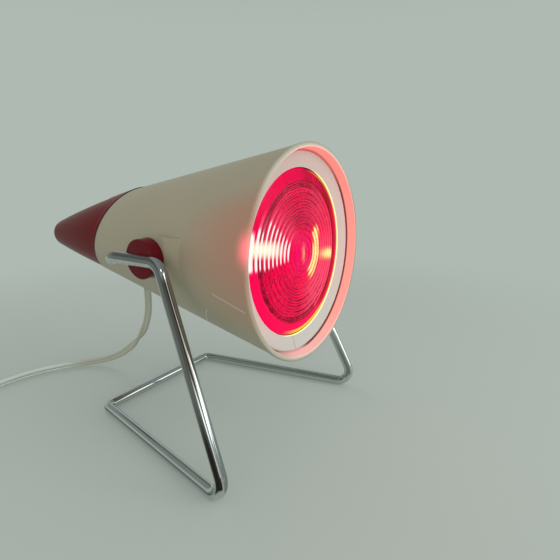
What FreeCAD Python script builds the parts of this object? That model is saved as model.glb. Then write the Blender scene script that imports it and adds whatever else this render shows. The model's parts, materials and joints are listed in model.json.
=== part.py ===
# Infrared heat therapy lamp: a truncated cone housing with a red rear cap, held between two
# pivot discs in a bent-wire stand. Millimetres, +Z up. The lamp looks along -Y, the stand rests
# on z = 0, and the origin is under the middle of the object's box.
# The head's pieces are drawn in the head's own frame: its Y is the station along the lamp's axis,
# counted from the rim towards the rear, and the axis is at its z = 0.
import FreeCAD, Part
import math
import os
import re
import Sketcher

SIZES = {
    # housing cone, on its outer surface
    "cone_radius": 78, "joint_radius": 41, "joint_station": 201, "joint_slant": 28, "joint_gap": 0.5,
    "cone_wall": 3, "bead_proud": 0.5, "bead_width": 3, "bead_step": 0.8, "lip_round": 1,
    # where the head hangs
    "pivot_station": 94, "pivot_height": 150, "pivot_back": -69,
    # flat fairing round each pivot, and the boss behind it
    "disc_room": 12, "fairing_half": 15, "fairing_front": 60, "fairing_tuck": 4.3,
    "facing": 1,
    "boss_radius": 13, "boss_face": 53.5, "boss_root": 58,
    # pivot discs, their stems, washers and screws
    "disc_radius": 14.2, "disc_edge": 1.8, "disc_crown": 0.2, "disc_gap": 0.2, "disc_round": 0.8,
    "stem_radius": 6, "stem_clearance": 0.08, "stem_proud": 1.3,
    "washer_radius": 10, "washer_thickness": 1, "spring_radius": 9.5, "spring_sheet": 0.5,
    "spring_gap": 0.05, "screw_radius": 2.5, "screw_hold": 12, "screw_head_radius": 4.5,
    "screw_head": 3.2, "hole_clearance": 0.1,
    # bent-wire stand, on the wire's centreline
    "wire_radius": 4.3, "wire_fit": 0.05, "wire_bend": 12, "rear_bend": 6.5, "tip_bend": 14,
    "wire_nose": 3.2,
    "leg_top_half": 80, "leg_top_front": 22.5, "tip_back": 26, "tip_run_in": 3, "tip_run_back": 7,
    "tip_drop": 4, "base_front_half": 96.5, "base_front": 89.7, "base_rear_half": 64.5, "base_rear": 80,
    # rear cap, on an axis of its own that droops towards the tip
    "cap_droop": 3, "cap_length": 125, "nose_radius": 15, "nose_turn": 14.4,
    "cap_overlap": 32, "cap_overlap_radius": 45.8, "cap_crown_radius": 1750, "cap_wall": 2.2,
    "cap_front_wall": 2.5, "collar_gap": 0.2, "collar_wall": 2.2, "collar_length": 9,
    # vent in the top of the cap
    "vent_start": 8, "vent_length": 84, "vent_depth": 1.2, "vent_angle": 48, "slot_width": 3.6,
    "slot_first": 15, "slot_pitch": 11, "slot_angle": 38, "slot_count": 7,
    # screw that holds the cap's collar from below
    "cap_screw_behind": 15.5, "cap_screw_radius": 1.5, "cap_screw_head": 3, "cap_screw_length": 8,
    "cap_screw_proud": 1.6, "cap_boss_radius": 3.8, "cap_boss_height": 7,
    # heat ring in the mouth
    "ring_station": 7.5, "ring_radius": 72.9, "ring_inner": 61.5, "ring_dish": 2.9, "ring_sheet": 0.8,
    "ring_flange": 10.5, "ring_lip": 73, "ring_lip_sheet": 1.2, "ring_groove_gap": 0.15,
    "ring_split": 0.8, "ring_split_aside": 10, "ring_round": 1.4,
    # reflector lamp: ringed glass, bowl, skirt, screw cap
    "lens_radius": 61, "lens_station": 10.6, "lens_dome": 3.2, "lens_glass": 4.4, "lens_seam": 15,
    "lens_round": 1.5, "lens_band": 9, "lens_hollow": 2.2, "ring_count": 12, "ring_relief": 0.5,
    "ring_crest": 1.3,
    "bowl_glass": 2.2, "bowl_shoulder": 23, "bowl_end": 84, "bowl_neck": 21.5, "bowl_curve": 96,
    "neck_end": 93, "neck_end_radius": 19,
    "skirt_start": 88, "skirt_sheet": 0.8, "skirt_end": 108, "cap_thread": 13.15, "cap_root": 12.3,
    "thread_pitch": 3.6, "thread_turns": 5, "cap_end": 131, "cap_bore": 11.4,
    "insulator_end": 134, "contact_end": 136, "contact_radius": 4.8,
    "filament_station": 55, "filament_radius": 7, "filament_wire": 0.8, "support_radius": 0.6,
    "support_start": 90.8,
    # lampholder
    "holder_front": 112, "holder_radius": 20, "holder_bore": 15, "holder_floor": 141,
    "holder_end": 158.5, "holder_step": 150, "holder_end_radius": 17, "holder_flat": 16,
    "holder_flat_start": 140,
    "shell_outer": 14.8, "shell_inner": 13.4, "shell_front": 114, "shell_floor": 1,
    "strip_sheet": 0.6, "strip_reach": 4, "strip_width": 6,
    "nipple_radius": 5, "nipple_bore": 3.5, "nipple_depth": 8, "nipple_length": 17,
    "nut_across": 14, "nut_height": 4, "terminal_half": 9, "terminal_station": 146,
    "terminal_head": 2.8, "terminal_head_height": 2, "terminal_shank": 1.5, "terminal_depth": 8,
    # bracket between the pivots and the lampholder
    "bracket_sheet": 1.5, "bracket_half": 9, "bracket_front": 84, "bracket_bend": 106,
    "bracket_corner_half": 43.2, "bracket_fold": 7,
    # cord, its grommet, clamp and cores
    "cord_radius": 3.2, "cord_fit": 0.1, "exit_station": 185.6, "exit_face": 50.2, "exit_hole": 5,
    "spot_radius": 7.2, "spot_depth": 42.5, "flange_radius": 7, "flange_height": 1.8,
    "nose_tip": 4.4, "nose_root": 5.6, "inner_flange_radius": 6.2, "inner_flange_low": 39.5,
    "inner_flange_top": 38,
    "cord_level": 23.6, "inner_bend": 14.2, "inner_end": 158, "saddle_front": 159, "saddle_length": 7,
    "saddle_half": 14, "saddle_sink": 0.1, "clamp_sheet": 1.5, "clamp_screw_half": 9,
    "clamp_screw_radius": 1.5, "clamp_screw_head": 2.8, "clamp_head_height": 2, "clamp_hold": 8,
    "core_radius": 1.2, "core_half": 1.6, "core_run": 6, "core_bend": 3,
    # put-away coil and plug
    "coil_x": -148, "coil_back": 246, "coil_inner": 26, "coil_outer": 40, "coil_height": 13.2,
    "plug_x": -181, "plug_back": 292, "sleeve_length": 18, "sleeve_tip": 4.6, "sleeve_root": 6,
    "plug_length": 36, "plug_width": 35.3, "plug_thickness": 13.7, "plug_waist": 16,
    "plug_straight": 16, "pin_radius": 2, "pin_length": 19, "pin_pitch": 18.6, "pin_hold": 6,
    "pin_root": 1.5,
}

CUT_REACH = 400       # how far a cut that goes right through reaches
TOUCH = 0.01          # two places closer than this are the same

doc = FreeCAD.newDocument("HeatLamp")
dims = doc.addObject("Spreadsheet::Sheet", "Dims")
for line, (alias, number) in enumerate(SIZES.items(), 1):
    dims.set(f"A{line}", alias)
    dims.set(f"B{line}", str(number))
    dims.setAlias(f"B{line}", alias)
doc.recompute()

nodes = {}            # what is exported: label and object
cuts = []             # every pocket and groove, to see that each takes something away


def sheet_text(formula):
    """The formula as FreeCAD reads it, each size as a name in the sheet."""
    return re.sub(r"[a-z][a-z_]*", lambda w: "Dims." + w[0] if w[0] in SIZES else w[0], str(formula))


def size(formula):
    return float(dims.evalExpression(sheet_text(formula)))


def bind(thing, prop, formula):
    thing.setExpression(prop, sheet_text(formula))


def cone(station, inset="0"):
    """The cone's outer radius at a station, less an inset, as a formula."""
    return f"(cone_radius - (cone_radius - joint_radius)/joint_station*({station}) - ({inset}))"


SCREW_STATION = "(joint_station + cap_screw_behind)"      # the screw that holds the cap's collar


def place(thing, x="0", y="0", z="0"):
    bind(thing, "Placement.Base.x", x)
    bind(thing, "Placement.Base.y", y)
    bind(thing, "Placement.Base.z", z)
    return thing


def on_head(thing):
    return place(thing, y="pivot_back - pivot_station", z="pivot_height")


def on_pivot(thing):
    return place(thing, y="pivot_back", z="pivot_height")


def new_body(label):
    body = doc.addObject("PartDesign::Body", label)
    body.Label = label
    return body


def keep(thing, label):
    thing.Label = label
    nodes[label] = thing
    return thing


def new_sketch(body, role, offset="0", turn=0, shift="0"):
    """A sketch on one of the body's origin planes, moved off it by offset, and turned by turn
    degrees about the point that lies shift along its own first axis."""
    drawing = body.newObject("Sketcher::SketchObject", body.Name + "Sketch")
    plane = [f for f in body.Origin.OriginFeatures if f.Role == role][0]
    drawing.AttachmentSupport = [(plane, "")]
    drawing.MapMode = "FlatFace"
    drawing.AttachmentOffset = FreeCAD.Placement(
        FreeCAD.Vector(size(shift), 0, size(offset)),
        FreeCAD.Rotation(FreeCAD.Vector(0, 0, 1), size(turn)))
    bind(drawing, "AttachmentOffset.Base.z", offset)
    bind(drawing, "AttachmentOffset.Base.x", shift)
    if turn:
        bind(drawing, "AttachmentOffset.Rotation.Angle", turn)
    return drawing


def pin_point(drawing, edge, end, across, up):
    for kind, formula, axis in (("DistanceX", across, -2), ("DistanceY", up, -1)):
        if str(formula) == "0":
            drawing.addConstraint(Sketcher.Constraint("PointOnObject", edge, end, axis))
        else:
            rule = Sketcher.Constraint(kind, -1, 1, edge, end, size(formula))
            bind(drawing, f"Constraints[{drawing.addConstraint(rule)}]", formula)


def outline(drawing, corners):
    """A closed outline. A corner is (across, up), or (across, up, radius) where an arc leaves it:
    with a plus radius the arc turns left, with a minus one right."""
    spots = [FreeCAD.Vector(size(c[0]), size(c[1]), 0) for c in corners]
    ends = []
    for corner, start, end in zip(corners, spots, spots[1:] + spots[:1]):
        if len(corner) == 2:
            edge = drawing.addGeometry(Part.LineSegment(start, end), False)
            ends.append((edge, 1, 2))
            continue
        radius = size(corner[2])
        chord = end - start
        left = FreeCAD.Vector(-chord.y, chord.x, 0).normalize()
        rise = math.sqrt(radius ** 2 - (chord.Length / 2) ** 2)
        middle = (start + end) / 2 + left * math.copysign(rise, radius)
        first, last = (start, end) if radius > 0 else (end, start)
        turns = [math.atan2(p.y - middle.y, p.x - middle.x) for p in (first, last)]
        if turns[1] < turns[0]:
            turns[1] += 2 * math.pi
        ring = Part.Circle(middle, FreeCAD.Vector(0, 0, 1), abs(radius))
        edge = drawing.addGeometry(Part.ArcOfCircle(ring, *turns), False)
        ends.append((edge, 1, 2) if radius > 0 else (edge, 2, 1))
    for corner, here, after in zip(corners, ends, ends[1:] + ends[:1]):
        drawing.addConstraint(Sketcher.Constraint("Coincident", here[0], here[2], after[0], after[1]))
        pin_point(drawing, here[0], here[1], corner[0], corner[1])
        if len(corner) == 3:
            rule = Sketcher.Constraint("Radius", here[0], abs(size(corner[2])))
            bind(drawing, f"Constraints[{drawing.addConstraint(rule)}]", f"abs({corner[2]})")
    return drawing


def circles(drawing, radius, *centres):
    for across, up in centres:
        middle = FreeCAD.Vector(size(across), size(up), 0)
        ring = drawing.addGeometry(Part.Circle(middle, FreeCAD.Vector(0, 0, 1), size(radius)), False)
        rule = Sketcher.Constraint("Radius", ring, size(radius))
        bind(drawing, f"Constraints[{drawing.addConstraint(rule)}]", radius)
        pin_point(drawing, ring, 3, across, up)
    return drawing


def rectangle(drawing, left, right, low, high):
    return outline(drawing, [(left, low), (right, low), (right, high), (left, high)])


def feature(body, kind, drawing, length=None, reverse=False, symmetric=False, angle=None):
    made = body.newObject("PartDesign::" + kind, body.Name + kind)
    made.Profile = drawing
    made.Reversed = reverse
    if kind in ("Pad", "Pocket"):
        made.SideType = "Symmetric" if symmetric else "One side"
        bind(made, "Length", length)
    else:
        made.ReferenceAxis = (drawing, ["H_Axis"])
        made.Midplane = angle is not None
        made.Angle = 360
        if angle:
            bind(made, "Angle", angle)
    if kind in ("Pocket", "Groove"):
        cuts.append(made)
    doc.recompute()
    return made


def turned(label, corners):
    """A body turned round the lamp's axis from a half outline of (station, radius)."""
    body = new_body(label)
    feature(body, "Revolution", outline(new_sketch(body, "YZ_Plane"), corners))
    return body


def round_edges(body, radius, chosen):
    """Rounds the upright edges whose middle is chosen."""
    base = body.Tip
    names = []
    for number, edge in enumerate(base.Shape.Edges, 1):
        upright = abs(edge.tangentAt(edge.FirstParameter).z) > 1 - TOUCH
        if upright and chosen(edge.CenterOfMass):
            names.append(f"Edge{number}")
    made = body.newObject("PartDesign::Fillet", body.Name + "Fillet")
    made.Base = (base, names)
    bind(made, "Radius", radius)
    doc.recompute()


def behind_joint(body, start, end=None):
    """A sketch of all that lies behind the slanted joint plane, from start to end along its normal."""
    lean = "cone_radius*tan(joint_slant)"
    begin = f"joint_station + ({start})/cos(joint_slant)"
    far = "joint_station + 2*cap_length"
    rear = [(far, "-cone_radius"), (far, "cone_radius")]
    if end is not None:
        finish = f"joint_station + ({end})/cos(joint_slant)"
        rear = [(f"{finish} + {lean}", "-cone_radius"), (f"{finish} - {lean}", "cone_radius")]
    front = [(f"{begin} - {lean}", "cone_radius"), (f"{begin} + {lean}", "-cone_radius")]
    return outline(new_sketch(body, "YZ_Plane"), front + rear)


def boolean(kind, label, base, tool):
    made = doc.addObject("Part::" + kind, label)
    made.Base = base
    made.Tool = tool
    made.Label = label
    doc.recompute()
    return made


def keep_shape(label, shape):
    made = doc.addObject("Part::Feature", label)
    made.Shape = shape
    return keep(made, label)


def bent_path(points, radii):
    """Straight runs joined by tangent arcs. radii holds one radius for each inner point."""
    edges = []
    here = points[0]
    for before, corner, after, radius in zip(points, points[1:], points[2:], radii):
        come = (corner - before).normalize()
        go = (after - corner).normalize()
        half = come.getAngle(go) / 2
        back = radius * math.tan(half)
        start, end = corner - come * back, corner + go * back
        inward = (go - come).normalize()
        middle = corner + inward * (radius / math.cos(half) - radius)
        if (start - here).Length > 1e-6:
            edges.append(Part.LineSegment(here, start).toShape())
        edges.append(Part.Arc(start, middle, end).toShape())
        here = end
    edges.append(Part.LineSegment(here, points[-1]).toShape())
    return edges


def tube(edges, radius):
    """A round bar along the edges, checked against its section times its length."""
    path = Part.Wire(edges)
    start = edges[0].valueAt(edges[0].FirstParameter)
    along = edges[0].tangentAt(edges[0].FirstParameter)
    section = Part.Wire(Part.makeCircle(radius, start, along))
    bar = path.makePipeShell([section], True, False)
    wanted = math.pi * radius ** 2 * path.Length
    if abs(bar.Volume / wanted - 1) > 0.002:
        raise RuntimeError("a tube's volume differs from its section times its length")
    return bar


def cord_radii(points, name):
    """The largest arc that each corner's two runs allow."""
    radii = []
    for before, corner, after in zip(points, points[1:], points[2:]):
        turn = (corner - before).getAngle(after - corner)
        shorter = min((corner - before).Length, (after - corner).Length)
        radii.append(0.45 * shorter / math.tan(turn / 2))
    print(name, "radii in cord diameters:", [round(r / (2 * size("cord_radius")), 1) for r in radii])
    return radii


# --- housing cone -------------------------------------------------------------------------------

def make_housing():
    body = on_head(new_body("housing_cone"))
    cone_end = "joint_station + joint_radius"
    feature(body, "Revolution", outline(new_sketch(body, "YZ_Plane"), [
        (0, 0),
        (cone_end, 0),
        (cone_end, cone(cone_end)),
        ("bead_width + bead_step", cone("bead_width + bead_step")),
        ("bead_width", cone("bead_width", "-bead_proud")),
        ("lip_round", cone("lip_round", "-bead_proud"), "lip_round"),
        (0, cone("0", "lip_round - bead_proud")),
    ]))
    flat, narrow = "(leg_top_half - disc_room)", "(leg_top_half - disc_room - fairing_tuck)"
    fairings = outline(new_sketch(body, "XY_Plane"), [
        ("-" + flat, "pivot_station"),
        ("-" + flat, "pivot_station - fairing_half"),
        ("-" + narrow, "fairing_front"),
        (narrow, "fairing_front"),
        (flat, "pivot_station - fairing_half"),
        (flat, "pivot_station"),
    ])
    feature(body, "Pad", fairings, "2*fairing_half", symmetric=True)
    fairing_end = circles(new_sketch(body, "YZ_Plane"), "fairing_half", ("pivot_station", 0))
    feature(body, "Pad", fairing_end, f"2*({flat} + facing)", symmetric=True)
    for side in ("-", ""):       # each disc runs on a face cut flat, whatever stands out there
        face = new_sketch(body, "YZ_Plane", side + flat)
        circles(face, "fairing_half + disc_gap", ("pivot_station", 0))
        feature(body, "Pocket", face, CUT_REACH, reverse=not side)
    groove_front = "ring_station + ring_flange - ring_lip_sheet - ring_groove_gap"
    groove_rear = "ring_station + ring_flange + ring_groove_gap"
    groove_radius = "ring_lip + ring_groove_gap"
    feature(body, "Groove", outline(new_sketch(body, "YZ_Plane"), [
        (-5, 0),
        (cone_end + " + 5", 0),
        (cone_end + " + 5", cone(cone_end + " + 5", "cone_wall")),
        (groove_rear, cone(groove_rear, "cone_wall")),
        (groove_rear, groove_radius),
        (groove_front, groove_radius),
        (groove_front, cone(groove_front, "cone_wall")),
        (-5, cone("-5", "cone_wall")),
    ]))
    boss_ring = [("pivot_station", 0)]
    for side in (False, True):
        sign = "-" if side else ""
        drawing = circles(new_sketch(body, "YZ_Plane", sign + "boss_face"), "boss_radius", *boss_ring)
        feature(body, "Pad", drawing, "boss_root - boss_face", reverse=side)
    saddle = new_sketch(body, "XZ_Plane", "-(saddle_front + saddle_length)")
    saddle_root = cone("saddle_front + saddle_length", "cone_wall - saddle_sink")
    rectangle(saddle, "-saddle_half", "saddle_half", "-" + saddle_root,
              "cord_radius - cord_level + cord_fit")
    feature(body, "Pad", saddle, "saddle_length")
    channel = new_sketch(body, "XZ_Plane")
    circles(channel, "cord_radius + cord_fit", (0, "-cord_level"))
    feature(body, "Pocket", channel, "2*(saddle_front + saddle_length + 1)", symmetric=True)
    channel_top = new_sketch(body, "XZ_Plane")
    rectangle(channel_top, "-cord_radius - cord_fit", "cord_radius + cord_fit", "-cord_level",
              "-holder_flat")
    feature(body, "Pocket", channel_top, "2*(saddle_front + saddle_length + 1)", symmetric=True)
    clamp_holes = new_sketch(body, "XY_Plane", "-cord_level + cord_radius")
    clamp_middle = "saddle_front + saddle_length/2"
    circles(clamp_holes, "clamp_screw_radius + hole_clearance",
            ("-clamp_screw_half", clamp_middle), ("clamp_screw_half", clamp_middle))
    feature(body, "Pocket", clamp_holes, "2*clamp_hold + 2", symmetric=True)
    bore = circles(new_sketch(body, "YZ_Plane"), "stem_radius + stem_clearance", *boss_ring)
    feature(body, "Pocket", bore, CUT_REACH, symmetric=True)
    exit_hole = circles(new_sketch(body, "XY_Plane", "-spot_depth"), "exit_hole", (0, "exit_station"))
    feature(body, "Pocket", exit_hole, "2*cone_wall + 4", symmetric=True)
    spot = circles(new_sketch(body, "XY_Plane", "-spot_depth"), "spot_radius", (0, "exit_station"))
    feature(body, "Pocket", spot, "2*cone_wall")
    screw_hole = new_sketch(body, "XY_Plane", "-joint_radius")
    circles(screw_hole, "cap_screw_radius + hole_clearance", (0, SCREW_STATION))
    feature(body, "Pocket", screw_hole, "6*cone_wall", symmetric=True)
    feature(body, "Pocket", behind_joint(body, "0"), CUT_REACH, symmetric=True)
    keep(body, "housing_cone")


# --- rear cap -----------------------------------------------------------------------------------

CAP_SHOULDER = "(cap_length - nose_radius*(1 - sin(nose_turn)))"


def cap_outline(inset):
    """Half outline of the cap on its own axis, from ahead of the joint to the tip of its nose."""
    tip = f"cap_length - ({inset})"
    nose = f"nose_radius - ({inset})"
    return [
        ("-cap_overlap", 0),
        (tip, 0, nose),
        (f"{CAP_SHOULDER} - ({inset})*sin(nose_turn)", f"({nose})*cos(nose_turn)", "cap_crown_radius"),
        ("-cap_overlap", f"cap_overlap_radius - ({inset})"),
    ]


def cap_radius(along):
    """The cap's outer radius at a distance behind the joint, on its own axis, as a formula."""
    fall = f"(cap_overlap_radius - nose_radius*cos(nose_turn))/(cap_overlap + {CAP_SHOULDER})"
    crown = f"(({along}) + cap_overlap)*({CAP_SHOULDER} - ({along}))/(2*cap_crown_radius)"
    return f"(cap_overlap_radius - {fall}*(({along}) + cap_overlap) + {crown})"


def make_rear_cap():
    own_axis = {"turn": "-cap_droop", "shift": "joint_station"}
    form = on_head(new_body("cap_form"))
    feature(form, "Revolution", outline(new_sketch(form, "YZ_Plane", **own_axis), cap_outline("0")))
    recess = new_sketch(form, "YZ_Plane", **own_axis)
    vent_end = "(vent_start + vent_length)"
    outline(recess, [
        (vent_end, cap_radius(vent_end) + " - vent_depth", "cap_crown_radius"),
        ("vent_start", cap_radius("vent_start") + " - vent_depth"),
        ("vent_start", "cap_overlap_radius"),
        (vent_end, "cap_overlap_radius"),
    ])
    feature(form, "Groove", recess, angle="vent_angle")
    slots = new_sketch(form, "YZ_Plane", **own_axis)
    rectangle(slots, "slot_first", "slot_first + slot_width", "nose_radius/2", "cap_overlap_radius")
    slot = feature(form, "Groove", slots, angle="slot_angle")
    row = form.newObject("PartDesign::LinearPattern", "SlotRow")
    row.Originals = [slot]
    row.Direction = (slots, ["H_Axis"])
    bind(row, "Length", "slot_pitch*(slot_count - 1)")
    bind(row, "Occurrences", "slot_count")
    form.Tip = row
    doc.recompute()
    return form


def make_cap_shell(form):
    own_axis = {"turn": "-cap_droop", "shift": "joint_station"}
    rear = on_head(new_body("cap_side"))
    feature(rear, "Pad", behind_joint(rear, "joint_gap"), CUT_REACH, symmetric=True)
    outer = boolean("Common", "cap_outer", form, rear)
    room = on_head(new_body("cap_room"))
    feature(room, "Revolution", outline(new_sketch(room, "YZ_Plane", **own_axis), cap_outline("cap_wall")))
    inside = on_head(new_body("cap_inside"))
    start = "joint_gap + cap_front_wall"
    feature(inside, "Pad", behind_joint(inside, start), CUT_REACH, symmetric=True)
    cavity = boolean("Common", "cap_cavity", room, inside)

    front, back = "joint_station - cap_overlap - 10", "joint_station + cap_overlap"
    inset = "cone_wall + collar_gap"
    plug = on_head(turned("collar_plug", [
        (front, 0), (back, 0), (back, cone(back, inset)), (front, cone(front, inset))]))
    slab = on_head(new_body("collar_slab"))
    band = behind_joint(slab, "-collar_length", "joint_gap + cap_front_wall/2")
    feature(slab, "Pad", band, CUT_REACH, symmetric=True)
    collar = boolean("Common", "cap_collar", plug, slab)
    inner = f"{inset} + collar_wall"
    opening = on_head(turned("collar_opening", [
        (front + " - 5", 0), (back, 0), (back, cone(back, inner)),
        (front + " - 5", cone(front + " - 5", inner))]))
    whole = boolean("Fuse", "cap_whole", outer, collar)
    shell = boolean("Cut", "cap_shell", whole, cavity)
    hollow = boolean("Cut", "cap_hollow", shell, opening)

    boss = on_head(new_body("cap_boss"))
    boss_low = cone(SCREW_STATION, f"{inset} + collar_wall/2")
    drawing = new_sketch(boss, "XY_Plane", "-" + boss_low)
    feature(boss, "Pad", circles(drawing, "cap_boss_radius", (0, SCREW_STATION)), "cap_boss_height")
    with_boss = boolean("Fuse", "cap_with_boss", hollow, boss)
    pilot = on_head(new_body("cap_pilot"))
    drawing = new_sketch(pilot, "XY_Plane", "-joint_radius")
    circles(drawing, "cap_screw_radius + hole_clearance", (0, SCREW_STATION))
    feature(pilot, "Pad", drawing, "cap_boss_height + cap_screw_length")
    keep(boolean("Cut", "rear_cap", with_boss, pilot), "rear_cap")


def make_cap_screw():
    body = on_head(new_body("cap_screw"))
    seat = "-" + cone(SCREW_STATION + " - cap_screw_head", "-hole_clearance")
    head = new_sketch(body, "XY_Plane", seat)
    circles(head, "cap_screw_head", (0, SCREW_STATION))
    feature(body, "Pad", head, "cap_screw_proud", reverse=True)
    shank = new_sketch(body, "XY_Plane", seat)
    feature(body, "Pad", circles(shank, "cap_screw_radius", (0, SCREW_STATION)), "cap_screw_length")
    keep(body, "cap_screw")


# --- heat ring ----------------------------------------------------------------------------------

def make_heat_ring():
    flange_end = "ring_station + ring_flange"
    skirt = "ring_radius - (cone_radius - joint_radius)/joint_station*ring_flange"
    body = on_head(turned("heat_ring", [
        ("ring_station + ring_dish", "ring_inner"),
        ("ring_station + ring_dish + ring_sheet", "ring_inner"),
        ("ring_station + ring_sheet", "ring_radius - ring_round"),
        ("ring_station + ring_round", "ring_radius - ring_sheet"),
        (flange_end, f"{skirt} - ring_sheet"),
        (flange_end, "ring_lip"),
        (flange_end + " - ring_lip_sheet", "ring_lip"),
        (flange_end + " - ring_lip_sheet", skirt),
        ("ring_station + ring_round", "ring_radius", "ring_round"),
        ("ring_station", "ring_radius - ring_round"),
    ]))
    split = new_sketch(body, "XZ_Plane")
    rectangle(split, "-ring_split_aside - ring_split", "-ring_split_aside", "-ring_lip - 1", "0")
    feature(body, "Pocket", split, CUT_REACH, symmetric=True)
    keep(body, "heat_ring")


# --- reflector lamp -----------------------------------------------------------------------------

def make_lens():
    """Pressed glass: a shallow dome whose front carries rings that rise and drop like saw teeth."""
    band = "(lens_radius - lens_band)"
    rim = "(lens_radius - lens_round)"

    def front_face(radius):
        return f"lens_station - lens_dome*(1 - (({radius})/{rim})^2)"

    corners = []
    for ring in range(SIZES["ring_count"] + 1):
        root = f"({band}/ring_count*{ring})"
        crest = f"({root} + ring_crest)"
        corners += [(f"{front_face(root)} + ring_relief", root), (front_face(crest), crest)]
    corners[-1] += (f"-({rim}^2 + lens_dome^2)/(2*lens_dome)",)
    back = "lens_station - lens_dome + lens_glass"
    corners += [
        ("lens_station", rim, "-lens_round"),
        ("lens_station + lens_round", "lens_radius"),
        ("lens_seam", "lens_radius"),
        ("lens_seam", "lens_radius - lens_glass"),
        (back + " + lens_hollow", band, f"({band}^2 + lens_hollow^2)/(2*lens_hollow)"),
        (back, 0),
    ]
    keep(on_head(turned("bulb_lens", corners)), "bulb_lens")


def make_bowl():
    glass = "bowl_glass"
    body = turned("bulb_reflector", [
        ("lens_seam", "lens_radius - lens_glass"),
        ("lens_seam", "lens_radius"),
        ("bowl_shoulder", "lens_radius", "-bowl_curve"),
        ("bowl_end", "bowl_neck"),
        ("neck_end", "neck_end_radius"),
        ("neck_end", 0),
        (f"neck_end - {glass}", 0),
        (f"neck_end - {glass}", f"neck_end_radius - {glass}"),
        (f"bowl_end - {glass}/2", f"bowl_neck - {glass}", f"bowl_curve - {glass}"),
        ("bowl_shoulder", "lens_radius - lens_glass"),
    ])
    keep(on_head(body), "bulb_reflector")


def make_bulb_base():
    sheet = "skirt_sheet"
    neck = "(bowl_neck - (bowl_neck - neck_end_radius)*(skirt_start - bowl_end)/(neck_end - bowl_end))"
    keep(on_head(turned("bulb_skirt", [
        ("skirt_start", f"{neck} + 0.05"),
        ("neck_end + 0.2", "neck_end_radius + 0.3"),
        ("neck_end + 4", "neck_end_radius + 0.3"),
        (f"skirt_end - {sheet}", "cap_root"),
        (f"skirt_end - {sheet}", "cap_bore"),
        ("skirt_end", "cap_bore"),
        ("skirt_end", f"cap_root + {sheet}"),
        ("neck_end + 4", f"neck_end_radius + 0.3 + {sheet}"),
        ("skirt_start", f"{neck} + 0.05 + {sheet}"),
    ])), "bulb_skirt")
    corners = [("skirt_end", "cap_bore"), ("skirt_end", "cap_root")]
    for turn in range(SIZES["thread_turns"]):
        start = f"skirt_end + 2 + thread_pitch*{turn}"
        corners.append((start, "cap_root"))
        corners.append((f"{start} + thread_pitch*0.3", "cap_thread"))
        corners.append((f"{start} + thread_pitch*0.6", "cap_thread"))
        corners.append((f"{start} + thread_pitch*0.9", "cap_root"))
    corners += [("cap_end", "cap_root"), ("cap_end", "cap_bore")]
    keep(on_head(turned("bulb_screw_cap", corners)), "bulb_screw_cap")
    keep(on_head(turned("bulb_insulator", [
        ("cap_end", 0), ("insulator_end", 0), ("insulator_end", "contact_radius + 1.5"),
        ("cap_end", "cap_root")])), "bulb_insulator")
    keep(on_head(turned("bulb_contact", [
        ("insulator_end", 0), ("contact_end", 0), ("contact_end", "contact_radius - 1.5"),
        ("insulator_end", "contact_radius")])), "bulb_contact")


def make_filament():
    arch = doc.addObject("Part::Torus", "filament")
    bind(arch, "Radius1", "filament_radius")
    bind(arch, "Radius2", "filament_wire")
    arch.Angle3 = 180
    arch.Placement.Rotation = FreeCAD.Rotation(FreeCAD.Vector(1, 0, 0), 90)
    keep(place(arch, y="pivot_back - pivot_station + filament_station", z="pivot_height"), "filament")
    body = on_head(new_body("filament_supports"))
    body.AllowCompound = True
    posts = new_sketch(body, "XZ_Plane", "-support_start")
    circles(posts, "support_radius", ("-filament_radius", 0), ("filament_radius", 0))
    feature(body, "Pad", posts, "support_start - filament_station - filament_wire")
    keep(body, "filament_supports")


# --- lampholder ---------------------------------------------------------------------------------

def make_lampholder():
    nipple_hole = "nipple_radius + hole_clearance"
    body = on_head(turned("lampholder_body", [
        ("holder_front", "holder_bore"),
        ("holder_front", "holder_radius - 1"),
        ("holder_front + 1", "holder_radius"),
        ("holder_step", "holder_radius"),
        ("holder_end", "holder_end_radius"),
        ("holder_end", nipple_hole),
        ("holder_end - nipple_depth", nipple_hole),
        ("holder_end - nipple_depth", 0),
        ("holder_floor", 0),
        ("holder_floor", "holder_bore"),
    ]))
    flat = new_sketch(body, "YZ_Plane")
    rectangle(flat, "holder_flat_start", "holder_end + 1", "-holder_radius - 1", "-holder_flat")
    feature(body, "Pocket", flat, CUT_REACH, symmetric=True)
    holes = new_sketch(body, "XY_Plane", "-holder_flat")
    circles(holes, "terminal_shank + hole_clearance", *TERMINALS)
    feature(body, "Pocket", holes, "terminal_depth + 1", reverse=True)
    keep(body, "lampholder_body")
    keep(on_head(turned("lampholder_shell", [
        ("shell_front", "shell_inner"),
        ("holder_floor - shell_floor", "shell_inner"),
        ("holder_floor - shell_floor", "shell_inner - 2"),
        ("holder_floor", "shell_inner - 2"),
        ("holder_floor", "shell_outer"),
        ("shell_front", "shell_outer"),
    ])), "lampholder_shell")
    strip = on_head(new_body("lampholder_contact"))
    feature(strip, "Pad", outline(new_sketch(strip, "YZ_Plane"), [
        ("holder_floor", "2*strip_reach"),
        ("holder_floor - strip_sheet", "2*strip_reach"),
        ("holder_floor - strip_sheet", "strip_reach"),
        ("contact_end", "strip_sheet"),
        ("contact_end", "-strip_reach"),
        ("contact_end + strip_sheet", "-strip_reach"),
        ("contact_end + strip_sheet", 0),
        ("holder_floor", "strip_reach - strip_sheet"),
    ]), "strip_width", symmetric=True)
    keep(strip, "lampholder_contact")
    keep_screws("terminal_screws", "-holder_flat", "terminal_head", "terminal_head_height",
                "terminal_shank", "terminal_depth", TERMINALS, 1)


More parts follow.
